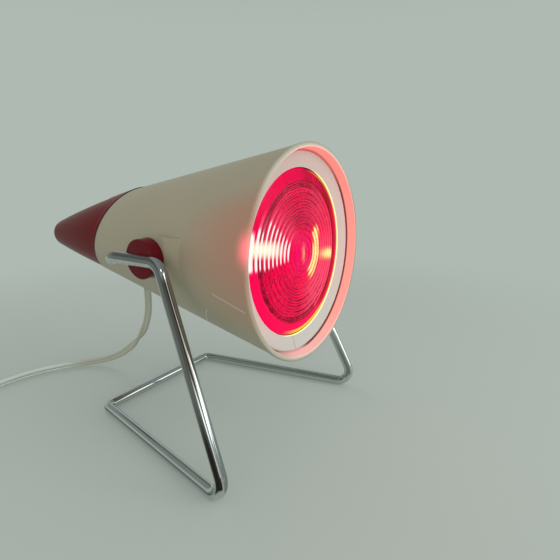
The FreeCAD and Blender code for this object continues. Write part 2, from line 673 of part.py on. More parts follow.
def keep_screws(label, level, head_radius, head_height, shank_radius, shank_length, places, way):
    """Identical screws as one node: heads on one side of a level, shanks on the other. With way 1
    the shanks point up."""
    body = on_head(new_body(label))
    body.AllowCompound = True
    heads = circles(new_sketch(body, "XY_Plane", level), head_radius, *places)
    feature(body, "Pad", heads, head_height, reverse=way > 0)
    shanks = circles(new_sketch(body, "XY_Plane", level), shank_radius, *places)
    feature(body, "Pad", shanks, shank_length, reverse=way < 0)
    keep(body, label)


def make_bracket():
    """A strap bent from sheet, from one pivot round behind the lampholder to the other."""
    sheet, rear = "bracket_sheet", "(holder_end + bracket_sheet)"
    narrowing = f"(boss_face - bracket_corner_half)*{sheet}/({rear} - bracket_bend)"
    outer = [("boss_face", "bracket_front"), ("boss_face", "bracket_bend"), ("bracket_corner_half", rear)]
    inner = [(f"bracket_corner_half - {sheet} + {narrowing}", "holder_end"),
             (f"boss_face - {sheet}", "bracket_bend"), (f"boss_face - {sheet}", "bracket_front")]
    corners = outer + [(f"-({x})", y) for x, y in outer[::-1] + inner[::-1]] + inner
    body = on_head(new_body("lampholder_bracket"))
    drawing = outline(new_sketch(body, "XY_Plane"), corners)
    feature(body, "Pad", drawing, "2*bracket_half", symmetric=True)
    round_edges(body, "bracket_fold", lambda place: abs(place.y - size(rear)) < TOUCH)
    round_edges(body, f"bracket_fold - {sheet}", lambda place: abs(place.y - size("holder_end")) < TOUCH)
    pivots = circles(new_sketch(body, "YZ_Plane"), "stem_radius + stem_clearance", ("pivot_station", 0))
    feature(body, "Pocket", pivots, CUT_REACH, symmetric=True)
    middle = circles(new_sketch(body, "XZ_Plane"), "nipple_radius + hole_clearance", (0, 0))
    feature(body, "Pocket", middle, CUT_REACH, symmetric=True)
    keep(body, "lampholder_bracket")
    start = "holder_end - nipple_depth + 1"
    keep(on_head(turned("lampholder_nipple", [
        (start, "nipple_bore"), (f"{start} + nipple_length", "nipple_bore"),
        (f"{start} + nipple_length", "nipple_radius"), (start, "nipple_radius")])), "lampholder_nipple")
    nut = on_head(new_body("nipple_nut"))
    drawing = new_sketch(nut, "XZ_Plane", f"-({rear} + nut_height)")
    reach = "nut_across/2"
    point = "nut_across/2/cos(30)"
    outline(drawing, [(point, 0), (f"{point}/2", reach), (f"-{point}/2", reach), ("-" + point, 0),
                      (f"-{point}/2", "-" + reach), (f"{point}/2", "-" + reach)])
    circles(drawing, "nipple_radius + hole_clearance", (0, 0))
    feature(nut, "Pad", drawing, "nut_height")
    keep(nut, "nipple_nut")


# --- cord entry ---------------------------------------------------------------------------------

def make_cord_entry():
    bore = "cord_radius + cord_fit"
    grommet = on_head(new_body("cord_grommet"))
    upright = new_sketch(grommet, "YZ_Plane", shift="exit_station")
    outline(upright, [
        (bore, "-exit_face"),
        ("nose_tip", "-exit_face"),
        ("nose_root", "-spot_depth - flange_height"),
        ("flange_radius", "-spot_depth - flange_height"),
        ("flange_radius", "-spot_depth"),
        ("exit_hole - cord_fit", "-spot_depth"),
        ("exit_hole - cord_fit", "-inner_flange_low"),
        ("inner_flange_radius", "-inner_flange_low"),
        ("exit_hole - cord_fit", "-inner_flange_top"),
        (bore, "-inner_flange_top"),
    ])
    ring = feature(grommet, "Revolution", upright)
    ring.ReferenceAxis = (upright, ["V_Axis"])
    keep(grommet, "cord_grommet")

    head = FreeCAD.Vector(0, size("pivot_back - pivot_station"), size("pivot_height"))

    def spot(across, station, up):
        return head + FreeCAD.Vector(size(across), size(station), size(up))

    level = "-cord_level"
    lead = [spot("0", "exit_station", "-exit_face"), spot("0", "exit_station", level),
            spot("0", "inner_end", level)]
    keep_shape("cord_inner", tube(bent_path(lead, [size("inner_bend")]), size("cord_radius")))
    cores = []
    for side in ("-", ""):
        end = spot(side + "terminal_half", "terminal_station", "-holder_flat - terminal_head_height")
        core = [spot(side + "core_half", "inner_end", level),
                spot(side + "core_half", "inner_end - core_run", level),
                end - FreeCAD.Vector(0, 0, size("core_run")), end]
        cores.append(tube(bent_path(core, [size("core_bend")] * 2), size("core_radius")))
    keep_shape("cord_cores", Part.makeCompound(cores))

    clamp = on_head(new_body("cord_clamp"))
    bar = new_sketch(clamp, "XY_Plane", "cord_radius + cord_fit - cord_level")
    rectangle(bar, "-saddle_half", "saddle_half", "saddle_front", "saddle_front + saddle_length")
    feature(clamp, "Pad", bar, "clamp_sheet")
    holes = new_sketch(clamp, "XY_Plane", "cord_radius - cord_level")
    circles(holes, "clamp_screw_radius + hole_clearance", *CLAMP_SCREWS)
    feature(clamp, "Pocket", holes, "4*clamp_sheet", symmetric=True)
    keep(clamp, "cord_clamp")
    top = "cord_radius + cord_fit - cord_level + clamp_sheet"
    keep_screws("clamp_screws", top, "clamp_screw_head", "clamp_head_height", "clamp_screw_radius",
                "clamp_hold", CLAMP_SCREWS, -1)


# --- pivots -------------------------------------------------------------------------------------

def make_pivot(side):
    """The disc, screw and washers on one side. They are turned about the pivot line, as half
    outlines of (distance from the middle, radius)."""
    out = "-" if side == "left" else ""

    def along_pivot(label, corners):
        body = on_pivot(new_body(f"{label}_{side}"))
        corners = [(f"{out}({c[0]})",) + tuple(c[1:]) for c in corners]
        if out:
            corners = [c[:2] + ((f"-({c[2]})",) if len(c) > 2 else ()) for c in corners]
        feature(body, "Revolution", outline(new_sketch(body, "XY_Plane"), corners))
        return body

    back = "leg_top_half - disc_room + disc_gap"
    stem_end = "boss_face - bracket_sheet - stem_proud"
    core = "screw_radius + stem_clearance"
    disc = along_pivot("pivot_disc", [
        (stem_end, core),
        (stem_end, "stem_radius"),
        (back, "stem_radius"),
        (back, "disc_radius"),
        ("leg_top_half - disc_edge - disc_round", "disc_radius", "disc_round"),
        ("leg_top_half - disc_edge", "disc_radius - disc_round", CROWN_BEND),
        ("leg_top_half - disc_crown", 0),
        (f"{stem_end} + screw_hold", 0),
        (f"{stem_end} + screw_hold", core),
    ])
    channel = new_sketch(disc, "XZ_Plane")
    bottom, top = "-(wire_radius + wire_fit)", "wire_radius + wire_fit"
    mouth = f"{out}(leg_top_half + 2*wire_radius)"
    bend = ("" if out else "-") + "(wire_radius + wire_fit)"
    outline(channel, [
        (mouth, bottom),
        (out + "leg_top_half", bottom, bend),
        (f"{out}(leg_top_half - wire_radius - wire_fit)", 0, bend),
        (out + "leg_top_half", top),
        (mouth, top),
    ])
    feature(disc, "Pocket", channel, CUT_REACH, symmetric=True)
    keep(disc, "pivot_disc_" + side)

    washer_end = f"{stem_end} - washer_thickness"
    keep(along_pivot("pivot_washer", [
        (washer_end, core), (washer_end, "washer_radius"), (stem_end, "washer_radius"),
        (stem_end, core)]), "pivot_washer_" + side)
    keep(along_pivot("spring_washer", [
        (f"{stem_end} + spring_gap", "stem_radius + 2*stem_clearance"),
        ("boss_face - bracket_sheet - spring_gap - spring_sheet", "spring_radius"),
        ("boss_face - bracket_sheet - spring_gap", "spring_radius"),
        (f"{stem_end} + spring_gap + spring_sheet", "stem_radius + 2*stem_clearance"),
    ]), "spring_washer_" + side)
    keep(along_pivot("pivot_screw", [
        (f"{washer_end} - screw_head", 0),
        (f"{washer_end} - screw_head", "screw_head_radius - screw_head/4"),
        (f"{washer_end} - screw_head*0.6", "screw_head_radius"),
        (washer_end, "screw_head_radius"),
        (washer_end, "screw_radius"),
        (f"{stem_end} + screw_hold - 1", "screw_radius"),
        (f"{stem_end} + screw_hold - 1", 0),
    ]), "pivot_screw_" + side)


# --- wire stand ---------------------------------------------------------------------------------

def make_stand():
    def spot(across, back, up):
        return FreeCAD.Vector(size(across), size("pivot_back") + size(back), size(up))

    near = [
        spot("-leg_top_half + tip_run_in", "tip_back + tip_run_back", "pivot_height - tip_drop"),
        spot("-leg_top_half", "tip_back", "pivot_height"),
        spot("-leg_top_half", "-leg_top_front", "pivot_height"),
        spot("-base_front_half", "-base_front", "wire_radius"),
        spot("-base_rear_half", "base_rear", "wire_radius"),
    ]
    far = [FreeCAD.Vector(-p.x, p.y, p.z) for p in near[::-1]]
    bends = [size(name) for name in ("tip_bend", "wire_bend", "wire_bend", "rear_bend")]
    wire = tube(bent_path(near + far, bends + bends[::-1]), size("wire_radius"))
    ends = [face.Edges[0] for face in wire.Faces if face.Surface.TypeId == "Part::GeomPlane"]
    keep_shape("stand_wire", wire.makeFillet(size("wire_nose"), ends))


# --- cord, coil and plug ------------------------------------------------------------------------

# The cord's route past the grommet: across, behind the pivot, and height above the table.
CORD_DROP = [(0, 91.6, 99.8), (0, 91.6, 84), (0, 94.6, 68), (0, 102, 53), (0, 113.2, 39.5),
             (-0.5, 128, 27), (-2, 145, 15), (-6.5, 162, 6), (-15, 175.5, 3.2)]
CORD_FLOOR = [(-27, 186, 3.2), (-43, 195.8, 3.2), (-60.5, 203, 3.2), (-79, 206.6, 3.2),
              (-98, 208.4, 3.2), (-117, 208.9, 3.2), (-134, 212.2, 3.2)]
CORD_TAIL = [(-183, 249, 9.8), (-184.6, 260, 9.4), (-183.6, 271.5, 8), (-181, 282, 6.85),
             (-181, 292, 6.85)]


def route(points):
    return [FreeCAD.Vector(x, size("pivot_back") + back, z) for x, back, z in points]


def make_cord():
    points = route(CORD_DROP + CORD_FLOOR)
    edges = bent_path(points, cord_radii(points, "cord"))
    landing = route(CORD_DROP)[-1]
    nearest = min(range(len(edges)), key=lambda e: abs(edges[e].CenterOfMass.y - landing.y))
    keep_shape("cord_drop", tube(edges[:nearest], size("cord_radius")))
    keep_shape("cord_floor", tube(edges[nearest:], size("cord_radius")))
    points = route(CORD_TAIL)
    keep_shape("cord_tail", tube(bent_path(points, cord_radii(points, "tail")), size("cord_radius")))
    coil = place(new_body("cord_coil"), "coil_x", "pivot_back + coil_back", "0")
    ring = circles(new_sketch(coil, "XY_Plane"), "coil_outer", (0, 0))
    circles(ring, "coil_inner", (0, 0))
    feature(coil, "Pad", ring, "coil_height")
    keep(coil, "cord_coil")


def make_plug():
    """A flat two-pin plug that lies on its broad side, pins towards the rear."""
    centre = "plug_thickness/2"
    body = place(new_body("plug_body"), "plug_x", "pivot_back + plug_back", centre)
    half, waist = "plug_width/2", "plug_waist/2"
    root, end = "sleeve_length", "sleeve_length + plug_length"
    shoulder = f"{end} - plug_straight"
    grip = outline(new_sketch(body, "XY_Plane"), [
        ("-" + waist, root), (waist, root), (half, shoulder), (half, end), ("-" + half, end),
        ("-" + half, shoulder)])
    feature(body, "Pad", grip, "plug_thickness", symmetric=True)
    sleeve = outline(new_sketch(body, "YZ_Plane"), [
        (0, 0), (root + " + 1", 0), (root + " + 1", "sleeve_root"), (0, "sleeve_tip")])
    feature(body, "Revolution", sleeve)
    holes = new_sketch(body, "XZ_Plane", f"-({end})")
    circles(holes, "pin_root", *PINS)
    feature(body, "Pocket", holes, "pin_hold", reverse=True)
    keep(body, "plug_body")
    pins = place(new_body("plug_pins"), "plug_x", "pivot_back + plug_back", centre)
    pins.AllowCompound = True
    blades = circles(new_sketch(pins, "XZ_Plane", f"-({end})"), "pin_radius", *PINS)
    feature(pins, "Pad", blades, "pin_length", reverse=True)
    roots = circles(new_sketch(pins, "XZ_Plane", f"-({end})"), "pin_root", *PINS)
    feature(pins, "Pad", roots, "pin_hold")
    keep(pins, "plug_pins")


CROWN_BEND = "((disc_radius - disc_round)^2 + (disc_edge - disc_crown)^2)/(2*(disc_edge - disc_crown))"
TERMINALS = [("-terminal_half", "terminal_station"), ("terminal_half", "terminal_station")]
CLAMP_SCREWS = [(side + "clamp_screw_half", "saddle_front + saddle_length/2") for side in ("-", "")]
PINS = [("-pin_pitch/2", 0), ("pin_pitch/2", 0)]

make_housing()
make_cap_shell(make_rear_cap())
make_cap_screw()
make_heat_ring()
make_lens()
make_bowl()
make_bulb_base()
make_filament()
make_lampholder()
make_bracket()
make_cord_entry()
make_pivot("left")
make_pivot("right")
make_stand()
make_cord()
make_plug()
doc.recompute()

for thing in doc.Objects:
    if "Invalid" in thing.State or "Error" in thing.State:
        raise RuntimeError(f"{thing.Label} did not build: {thing.State}")
for made in cuts:
    if made.BaseFeature.Shape.Volume - made.Shape.Volume < 1e-3:
        raise RuntimeError(f"{made.Label} cuts nothing")
for label, thing in nodes.items():
    if thing.Shape.isNull() or not thing.Shape.isValid() or not thing.Shape.Solids:
        raise RuntimeError(f"{label} is not a valid solid")

os.makedirs("parts", exist_ok=True)
for label, thing in nodes.items():
    thing.Shape.exportStep(f"parts/{label}.step")
    box = thing.Shape.BoundBox
    print(f"{label:22} solids {len(thing.Shape.Solids)}  x {box.XMin:7.1f} {box.XMax:7.1f}"
          f"  y {box.YMin:7.1f} {box.YMax:7.1f}  z {box.ZMin:6.1f} {box.ZMax:6.1f}")
print(len(nodes), "nodes")
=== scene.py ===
import json
import math

import bmesh
import bpy
from mathutils import Matrix, Vector


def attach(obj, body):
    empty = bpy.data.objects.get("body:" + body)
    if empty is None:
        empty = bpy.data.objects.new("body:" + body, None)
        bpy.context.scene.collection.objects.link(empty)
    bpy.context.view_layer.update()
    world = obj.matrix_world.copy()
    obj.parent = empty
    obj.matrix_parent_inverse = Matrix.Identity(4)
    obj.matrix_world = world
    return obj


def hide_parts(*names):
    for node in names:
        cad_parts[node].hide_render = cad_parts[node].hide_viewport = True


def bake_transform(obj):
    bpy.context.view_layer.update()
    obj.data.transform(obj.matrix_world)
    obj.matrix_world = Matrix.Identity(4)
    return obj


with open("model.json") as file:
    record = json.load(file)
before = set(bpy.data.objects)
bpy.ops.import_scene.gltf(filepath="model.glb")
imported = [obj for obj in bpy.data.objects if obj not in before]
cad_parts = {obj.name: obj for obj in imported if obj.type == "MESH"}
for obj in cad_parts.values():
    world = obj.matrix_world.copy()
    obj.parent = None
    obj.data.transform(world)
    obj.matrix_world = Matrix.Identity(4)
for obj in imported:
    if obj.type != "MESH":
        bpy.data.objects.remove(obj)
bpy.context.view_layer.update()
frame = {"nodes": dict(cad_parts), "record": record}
nodes = frame["nodes"]
bpy.ops.object.select_all(action="DESELECT")
print("frame loaded:", len(nodes), "nodes")

mouth = Vector((0, -0.163, 0.150))     # middle of the mouth's front edge


# camera

camera = {
    "place": (-0.26759, -0.31444, 0.20915),
    "heading": -56.13, "look": 75.75, "roll": -0.57,     # degrees
    "lens": 27.70, "sensor": 36, "clipStart": 0.01,
}


def makeCamera():
    eye = bpy.data.cameras.new("eye")
    eye.lens, eye.sensor_width = camera["lens"], camera["sensor"]
    eye.clip_start = camera["clipStart"]
    holder = bpy.data.objects.new("eye", eye)
    bpy.context.scene.collection.objects.link(holder)
    turn = Matrix.Rotation(math.radians(camera["heading"]), 4, "Z")
    turn = turn @ Matrix.Rotation(math.radians(camera["look"]), 4, "X")
    turn = turn @ Matrix.Rotation(math.radians(camera["roll"]), 4, "Z")
    holder.matrix_world = Matrix.Translation(camera["place"]) @ turn
    bpy.context.scene.camera = holder


makeCamera()
bpy.context.scene.view_settings.view_transform = "Standard"
print("camera placed")


# shader nodes: a Flow is a socket that takes part in sums, a Bench lays out one node tree

class Flow:
    def __init__(self, bench, socket):
        self.bench, self.socket = bench, socket

    def sum(self, operation, *terms):
        return self.bench.node("ShaderNodeMath", {"operation": operation}, dict(enumerate(terms)))

    def __add__(self, other): return self.sum("ADD", self, other)
    def __radd__(self, other): return self.sum("ADD", other, self)
    def __sub__(self, other): return self.sum("SUBTRACT", self, other)
    def __rsub__(self, other): return self.sum("SUBTRACT", other, self)
    def __mul__(self, other): return self.sum("MULTIPLY", self, other)
    def __rmul__(self, other): return self.sum("MULTIPLY", other, self)
    def __truediv__(self, other): return self.sum("DIVIDE", self, other)
    def __pow__(self, other): return self.sum("POWER", self, other)
    def __mod__(self, other): return self.sum("FLOORED_MODULO", self, other)
    def __abs__(self): return self.sum("ABSOLUTE", self)


class Bench:                           # its methods take colours and spans by their names in the look
    def __init__(self, tree, look):
        self.tree, self.look = tree, look

    def node(self, kind, settings=None, values=None, output=0):
        made = self.tree.nodes.new(kind)
        for name, setting in (settings or {}).items():
            setattr(made, name, setting)
        for name, value in (values or {}).items():
            if isinstance(value, Flow):
                self.tree.links.new(value.socket, made.inputs[name])
            else:
                made.inputs[name].default_value = value
        return Flow(self, made.outputs[output])

    def split(self, vector):
        apart = self.node("ShaderNodeSeparateXYZ", {}, {0: vector}).socket.node
        return [Flow(self, socket) for socket in apart.outputs]

    def join(self, *parts):
        return self.node("ShaderNodeCombineXYZ", {}, dict(enumerate(parts)))

    def clamp(self, value):
        return self.node("ShaderNodeClamp", {}, {0: value})

    def mix(self, factor, first, second):
        ends = [paint(*self.look[end]) if isinstance(end, str) else end for end in (first, second)]
        return self.node("ShaderNodeMix", {"data_type": "RGBA"}, {0: factor, 6: ends[0], 7: ends[1]}, 2)

    def ease(self, value, span):       # 0 before the span, 1 after it, smooth between
        low, high = self.look[span] if isinstance(span, str) else span
        return self.node("ShaderNodeMapRange", {"interpolation_type": "SMOOTHSTEP"},
                         {0: value, 1: low, 2: high, 3: 0.0, 4: 1.0})

    def fall(self, value, span):       # 1 before the span, 0 after it
        return 1 - self.ease(value, span)

    def within(self, value, name):     # rises over the first of two spans, falls over the second
        start, end = self.look[name]
        return self.ease(value, start) * self.fall(value, end)

    def near(self, value, name):       # 1 at a middle, falls over a span on both sides of it
        middle, span = self.look[name]
        return self.fall(abs(value - middle), span)

    def noise(self, place, scale, detail=3.0, rough=0.55, stretch=None):
        if stretch:
            place = self.node("ShaderNodeMapping", {}, {"Vector": place, "Scale": stretch})
        return self.node("ShaderNodeTexNoise", {}, {"Vector": place, "Scale": scale, "Detail": detail,
                                                    "Roughness": rough})


class Finish(Bench):
    def __init__(self, name, look, **constants):
        self.material = bpy.data.materials.new(name)
        self.material.use_nodes = True
        super().__init__(self.material.node_tree, look)
        self.shader = self.tree.nodes["Principled BSDF"]
        self.place = self.node("ShaderNodeTexCoord", {}, {}, "Object")
        for socket, value in constants.items():
            self.shader.inputs[socket.replace("_", " ")].default_value = value

    def feed(self, socket, flow):
        self.tree.links.new(flow.socket, self.shader.inputs[socket])

    def bump(self, height, depth, strength):           # depth in metres
        self.feed("Normal", self.node("ShaderNodeBump", {}, {"Height": height, "Distance": depth,
                                                            "Strength": strength}))


def paint(red, green, blue):           # a colour as a screen shows it, 0 to 255
    shares = [value / 255 for value in (red, green, blue)]
    return tuple(s / 12.92 if s <= 0.04045 else ((s + 0.055) / 1.055) ** 2.4 for s in shares) + (1.0,)


def ellipse(across, along, weights):   # distance from a spot's middle, weighted each way
    return (across * across * weights[0] + along * along * weights[1]) ** 0.5


# floor, backdrop and lamps

studio = {
    "floor": (176, 186, 178), "backdrop": (175, 186, 178), "overhead": (132, 140, 140),
    "overheadRise": (0.26, 0.62),          # how steeply one looks up where the backdrop turns dark
    "floorRadius": 2.5, "floorSides": 96, "floorRough": 0.6,
    "grainScale": 60.0, "grain": 0.06, "grainShade": 0.9,
    "fadeNear": 0.30, "fadeRise": (0.30, 0.80),    # share of backdrop near the lamp, and metres where it grows
    "ambient": 0.62,
    "aim": (0, -0.03, 0.1),
    "lamps": {    # place, size in metres, power in watts, lights matt surfaces, shows in gloss
        "key": ((0.15, -1.30, 0.70), 0.8, 7.6, True, True),
        "fill": ((-1.20, -0.40, 0.20), 0.9, 3.2, True, False),
        "window": ((-0.85, -0.95, 0.25), 0.36, 0.5, True, True),
        "back": ((0.55, 1.05, 0.9), 0.8, 2.6, True, False),
        "spark": ((-0.55, -0.75, 1.05), 0.16, 0.4, True, True),
        "side": ((0.70, -1.22, 0.50), 0.7, 2.6, False, True),
    },
}


def makeWorld():
    world = bpy.data.worlds.new("studio")
    bpy.context.scene.world = world
    world.use_nodes = True
    world.node_tree.nodes.clear()
    bench = Bench(world.node_tree, studio)
    rays = bench.node("ShaderNodeLightPath").socket.node
    seen = Flow(bench, rays.outputs["Is Camera Ray"]) + Flow(bench, rays.outputs["Is Glossy Ray"])
    seen = seen + Flow(bench, rays.outputs["Is Transmission Ray"])
    light = bench.node("ShaderNodeBackground", {}, {"Color": (1, 1, 1, 1), "Strength": studio["ambient"]})
    height = bench.split(bench.node("ShaderNodeTexCoord", {}, {}, "Generated"))[2]
    sky = bench.mix(bench.ease(height, "overheadRise"), "backdrop", "overhead")
    scenery = bench.node("ShaderNodeBackground", {}, {"Color": sky, "Strength": 1.0})
    both = bench.node("ShaderNodeMixShader", {}, {0: seen, 1: light, 2: scenery})
    output = world.node_tree.nodes.new("ShaderNodeOutputWorld")
    world.node_tree.links.new(both.socket, output.inputs[0])


def makeFloor():
    bpy.ops.mesh.primitive_circle_add(vertices=studio["floorSides"], radius=studio["floorRadius"],
                                      fill_type="NGON")
    floor = bpy.context.object
    floor.name = "floor"
    finish = Finish("floorPaint", studio, Roughness=studio["floorRough"])
    away = finish.node("ShaderNodeVectorMath", {"operation": "LENGTH"}, {0: finish.place}, 1)
    grain = finish.noise(finish.place, studio["grainScale"], 2.0)
    base = paint(*studio["floor"])
    shade = tuple(share * studio["grainShade"] for share in base[:3]) + (1.0,)
    finish.feed("Base Color", finish.mix(grain * studio["grain"], base, shade))
    backdrop = finish.node("ShaderNodeEmission", {}, {"Color": paint(*studio["backdrop"]), "Strength": 1.0})
    near = studio["fadeNear"]
    share = near + (1 - near) * finish.ease(away, "fadeRise")
    painted = Flow(finish, finish.shader.outputs[0])
    mixed = finish.node("ShaderNodeMixShader", {}, {0: share, 1: painted, 2: backdrop})
    finish.tree.links.new(mixed.socket, finish.tree.nodes["Material Output"].inputs["Surface"])
    floor.data.materials.append(finish.material)


def makeLamps():
    for name, (place, size, power, lights, shows) in studio["lamps"].items():
        lamp = bpy.data.lights.new(name, "AREA")
        lamp.energy, lamp.size = power, size
        holder = bpy.data.objects.new(name, lamp)
        bpy.context.scene.collection.objects.link(holder)
        turn = (Vector(studio["aim"]) - Vector(place)).to_track_quat("-Z", "Y").to_matrix().to_4x4()
        holder.matrix_world = Matrix.Translation(place) @ turn
        holder.visible_camera = False
        holder.visible_diffuse = lights
        holder.visible_glossy = shows


makeWorld()
makeFloor()
makeLamps()
print("studio lit")


# cord: a flat twin flex, on one spline from the grommet to the plug

cord = {
    "width": 0.0068, "thickness": 0.0034,
    "corePoints": 9, "coreStart": -128, "coreStep": 32, "webShare": 0.52,      # degrees round a core
    "lie": 0.00175,                        # height of its middle where it lies flat
    "facing": (0.83, 0.557, 0.0),          # broad side of the hanging stretch
    "drop": [(0, 0.0226, 0.0998), (0, 0.0226, 0.084), (0, 0.0256, 0.068), (0, 0.033, 0.053),
             (0, 0.0442, 0.0395), (-0.0005, 0.059, 0.027), (-0.002, 0.076, 0.0155),
             (-0.0065, 0.093, 0.0078), (-0.015, 0.1065, 0.0048)],
    "floor": [(-0.027, 0.1175, 0.0042), (-0.043, 0.1280, 0.0040), (-0.0605, 0.1360, 0.0038),
              (-0.079, 0.1400, 0.0038), (-0.098, 0.1412, 0.0036), (-0.117, 0.1405, 0.0020)],
    "leanHeights": (0.050, 0.006),         # where the broad side leans over on its way down
    "levelHeights": (0.075, 0.035),        # where it turns from its facing to square with its run
    "rest": (0.236, 0.276),                # along the cord, where it turns from its edge to its flat
    "tilt": 14,                            # lean of the broad side on the floor, in degrees
    "twist": (0.036, 0.050),               # where the half turn starts along the cord, and its length
    "coilMiddle": (-0.148, 0.177), "coilRadii": (0.0369, 0.0300), "coilTurns": 7.33,
    "coilStart": -67.5, "coilLayer": 0.0034, "turnPoints": 16,
    "coilStep": 0.8,                       # share of a turn after which it steps to the next
    "tail": [(-0.1846, 0.191, 0.0108), (-0.1836, 0.2025, 0.0088), (-0.1812, 0.2125, 0.0071),
             (-0.181, 0.2235, 0.00685)],
    "splineSteps": 6, "splineOrder": 3,
    "wrapScale": 10,                       # pattern units in a metre of cord
}


def fade(value, low, high):            # 0 at low, 1 at high, smooth between
    share = min(max((value - low) / (high - low), 0), 1)
    return share * share * (3 - 2 * share)


def coilPoints():
    outer, inner = cord["coilRadii"]
    stops = [(outer, 0), (inner, 0), (inner, 1), (outer, 1), (outer, 2), (inner, 2), (inner, 3), (outer, 3)]
    points = []
    for step in range(int(cord["coilTurns"] * cord["turnPoints"]) + 1):
        turns = step / cord["turnPoints"]
        here = int(turns)
        change = fade(turns % 1, cord["coilStep"], 1)
        before, after = stops[here], stops[min(here + 1, len(stops) - 1)]
        radius = before[0] + (after[0] - before[0]) * change
        layer = before[1] + (after[1] - before[1]) * change
        angle = math.radians(cord["coilStart"] - 360 * turns)
        points.append((cord["coilMiddle"][0] + radius * math.cos(angle),
                       cord["coilMiddle"][1] + radius * math.sin(angle),
                       cord["lie"] + layer * cord["coilLayer"]))
    return points


def traceSpline(points):
    guide = bpy.data.curves.new("cordGuide", "CURVE")
    guide.dimensions, guide.resolution_u = "3D", cord["splineSteps"]
    line = guide.splines.new("NURBS")
    line.points.add(len(points) - 1)
    for spot, point in zip(line.points, points):
        spot.co = (*point, 1)
    line.order_u = cord["splineOrder"]
    line.use_endpoint_u = True
    holder = bpy.data.objects.new("cordGuide", guide)
    bpy.context.scene.collection.objects.link(holder)
    bpy.context.view_layer.update()
    traced = bpy.data.meshes.new_from_object(holder.evaluated_get(bpy.context.evaluated_depsgraph_get()))
    path = [vertex.co.copy() for vertex in traced.vertices]
    bpy.data.objects.remove(holder)
    return path


def flexSection():                     # two round cores side by side with a web between them
    half = cord["thickness"] / 2
    around = []
    for side, turned in ((1, 0), (-1, 180)):
        middle = side * (cord["width"] / 2 - half)
        for step in range(cord["corePoints"]):
            angle = math.radians(cord["coreStart"] + turned + cord["coreStep"] * step)
            around.append((middle + half * math.cos(angle), half * math.sin(angle)))
        around.append((0, side * half * cord["webShare"]))
    return around


def ringOfCord(section, spot, along, length):      # the section, turned as the cord lies there
    tilt = math.radians(cord["tilt"])
    lean = fade(spot.z, *cord["leanHeights"]) * tilt + fade(length, *cord["rest"]) * (math.pi / 2 - tilt)
    level = Vector((along.y, -along.x, 0)).normalized()
    away = Vector(cord["facing"]).lerp(level, fade(spot.z, *cord["levelHeights"]))
    up = away * math.cos(lean) + Vector((0, 0, 1)) * math.sin(lean)
    up = (up - along * up.dot(along)).normalized()
    turn = math.pi * fade(length, cord["twist"][0], sum(cord["twist"]))
    side = along.cross(up)
    across = side * math.cos(turn) + up * math.sin(turn)
    thick = up * math.cos(turn) - side * math.sin(turn)
    ring = [spot + across * u + thick * v for u, v in section]
    lift = max(-min(corner.z for corner in ring), 0)       # no part of it dips below the floor
    return [corner + Vector((0, 0, lift)) for corner in ring]


def wrapCord(mesh, count, runs):       # the pattern runs along the cord and once round it
    wrap = mesh.uv_layers.new(name="alongCord")
    for face in mesh.polygons:
        for corner, vertex in zip(face.loop_indices, face.vertices):
            place = vertex % count
            if place == 0 and any(other % count == count - 1 for other in face.vertices):
                place = count              # the last strip closes the round
            wrap.data[corner].uv = (runs[vertex // count] * cord["wrapScale"], place / count)


def makeCord():
    path = traceSpline(cord["drop"] + cord["floor"] + coilPoints() + cord["tail"])
    section = flexSection()
    length, verts, runs = 0.0, [], []
    for at, spot in enumerate(path):
        if at:
            length += (spot - path[at - 1]).length
        runs.append(length)
        along = (path[min(at + 1, len(path) - 1)] - path[max(at - 1, 0)]).normalized()
        verts += ringOfCord(section, spot, along, length)
    count = len(section)
    faces = [(ring * count + k, ring * count + (k + 1) % count,
              (ring + 1) * count + (k + 1) % count, (ring + 1) * count + k)
             for ring in range(len(path) - 1) for k in range(count)]
    faces += [tuple(range(count))[::-1], tuple((len(path) - 1) * count + k for k in range(count))]
    mesh = bpy.data.meshes.new("cordFlex")
    mesh.from_pydata(verts, [], faces)
    mesh.update()
    wrapCord(mesh, count, runs)
    shape = bmesh.new()
    shape.from_mesh(mesh)
    bmesh.ops.recalc_face_normals(shape, faces=shape.faces)
    shape.to_mesh(mesh)
    shape.free()
    flex = bpy.data.objects.new("cord", mesh)
    bpy.context.scene.collection.objects.link(flex)
    for face in mesh.polygons:
        face.use_smooth = True
    print("cord length", round(length, 4))
    return flex, path, length


flex, cordPath, cordLength = makeCord()
print("cord laid")


# plug: flat two-pin plug lying on its broad side

plug = {
    "x": -0.181, "z": 0.00685, "sleeveStart": 0.223, "gripStart": 0.241, "gripEnd": 0.277,
    "width": 0.0353, "waist": 0.016, "thickness": 0.0137, "shoulder": 0.261,
    "frontShare": 0.86,                    # thickness at the sleeve
    "round": 0.0024, "roundSteps": 4, "smoothAngle": 35,
    "sleeveTip": 0.0046, "sleeveRoot": 0.0060, "sleeveSides": 32, "sleeveTuck": 0.001,
    "ribs": 5, "ribSteps": 4, "ribDepth": 0.0007,
    "bars": 5, "barStart": 0.012, "barPitch": 0.0032, "barDepth": 0.0005, "barThin": 0.0016,
    "barWidth": 0.012, "barWiden": 0.0020, "barRound": 0.0003,
}


def clearSelection():
    if bpy.context.mode != "OBJECT":
        bpy.ops.object.mode_set(mode="OBJECT")
    bpy.ops.object.select_all(action="DESELECT")


def openMesh():                        # edit mode, with all selected
    bpy.ops.object.mode_set(mode="EDIT")
    bpy.ops.mesh.select_all(action="SELECT")


def applyPlace():
    bpy.ops.object.transform_apply(location=True, rotation=True, scale=True)


def pick(shape, wanted):               # selects vertices by place, and what lies between them
    for vertex in shape.verts:
        vertex.select = wanted(vertex.co)
    for edge in shape.edges:
        edge.select = all(vertex.select for vertex in edge.verts)
    for face in shape.faces:
        face.select = all(vertex.select for vertex in face.verts)


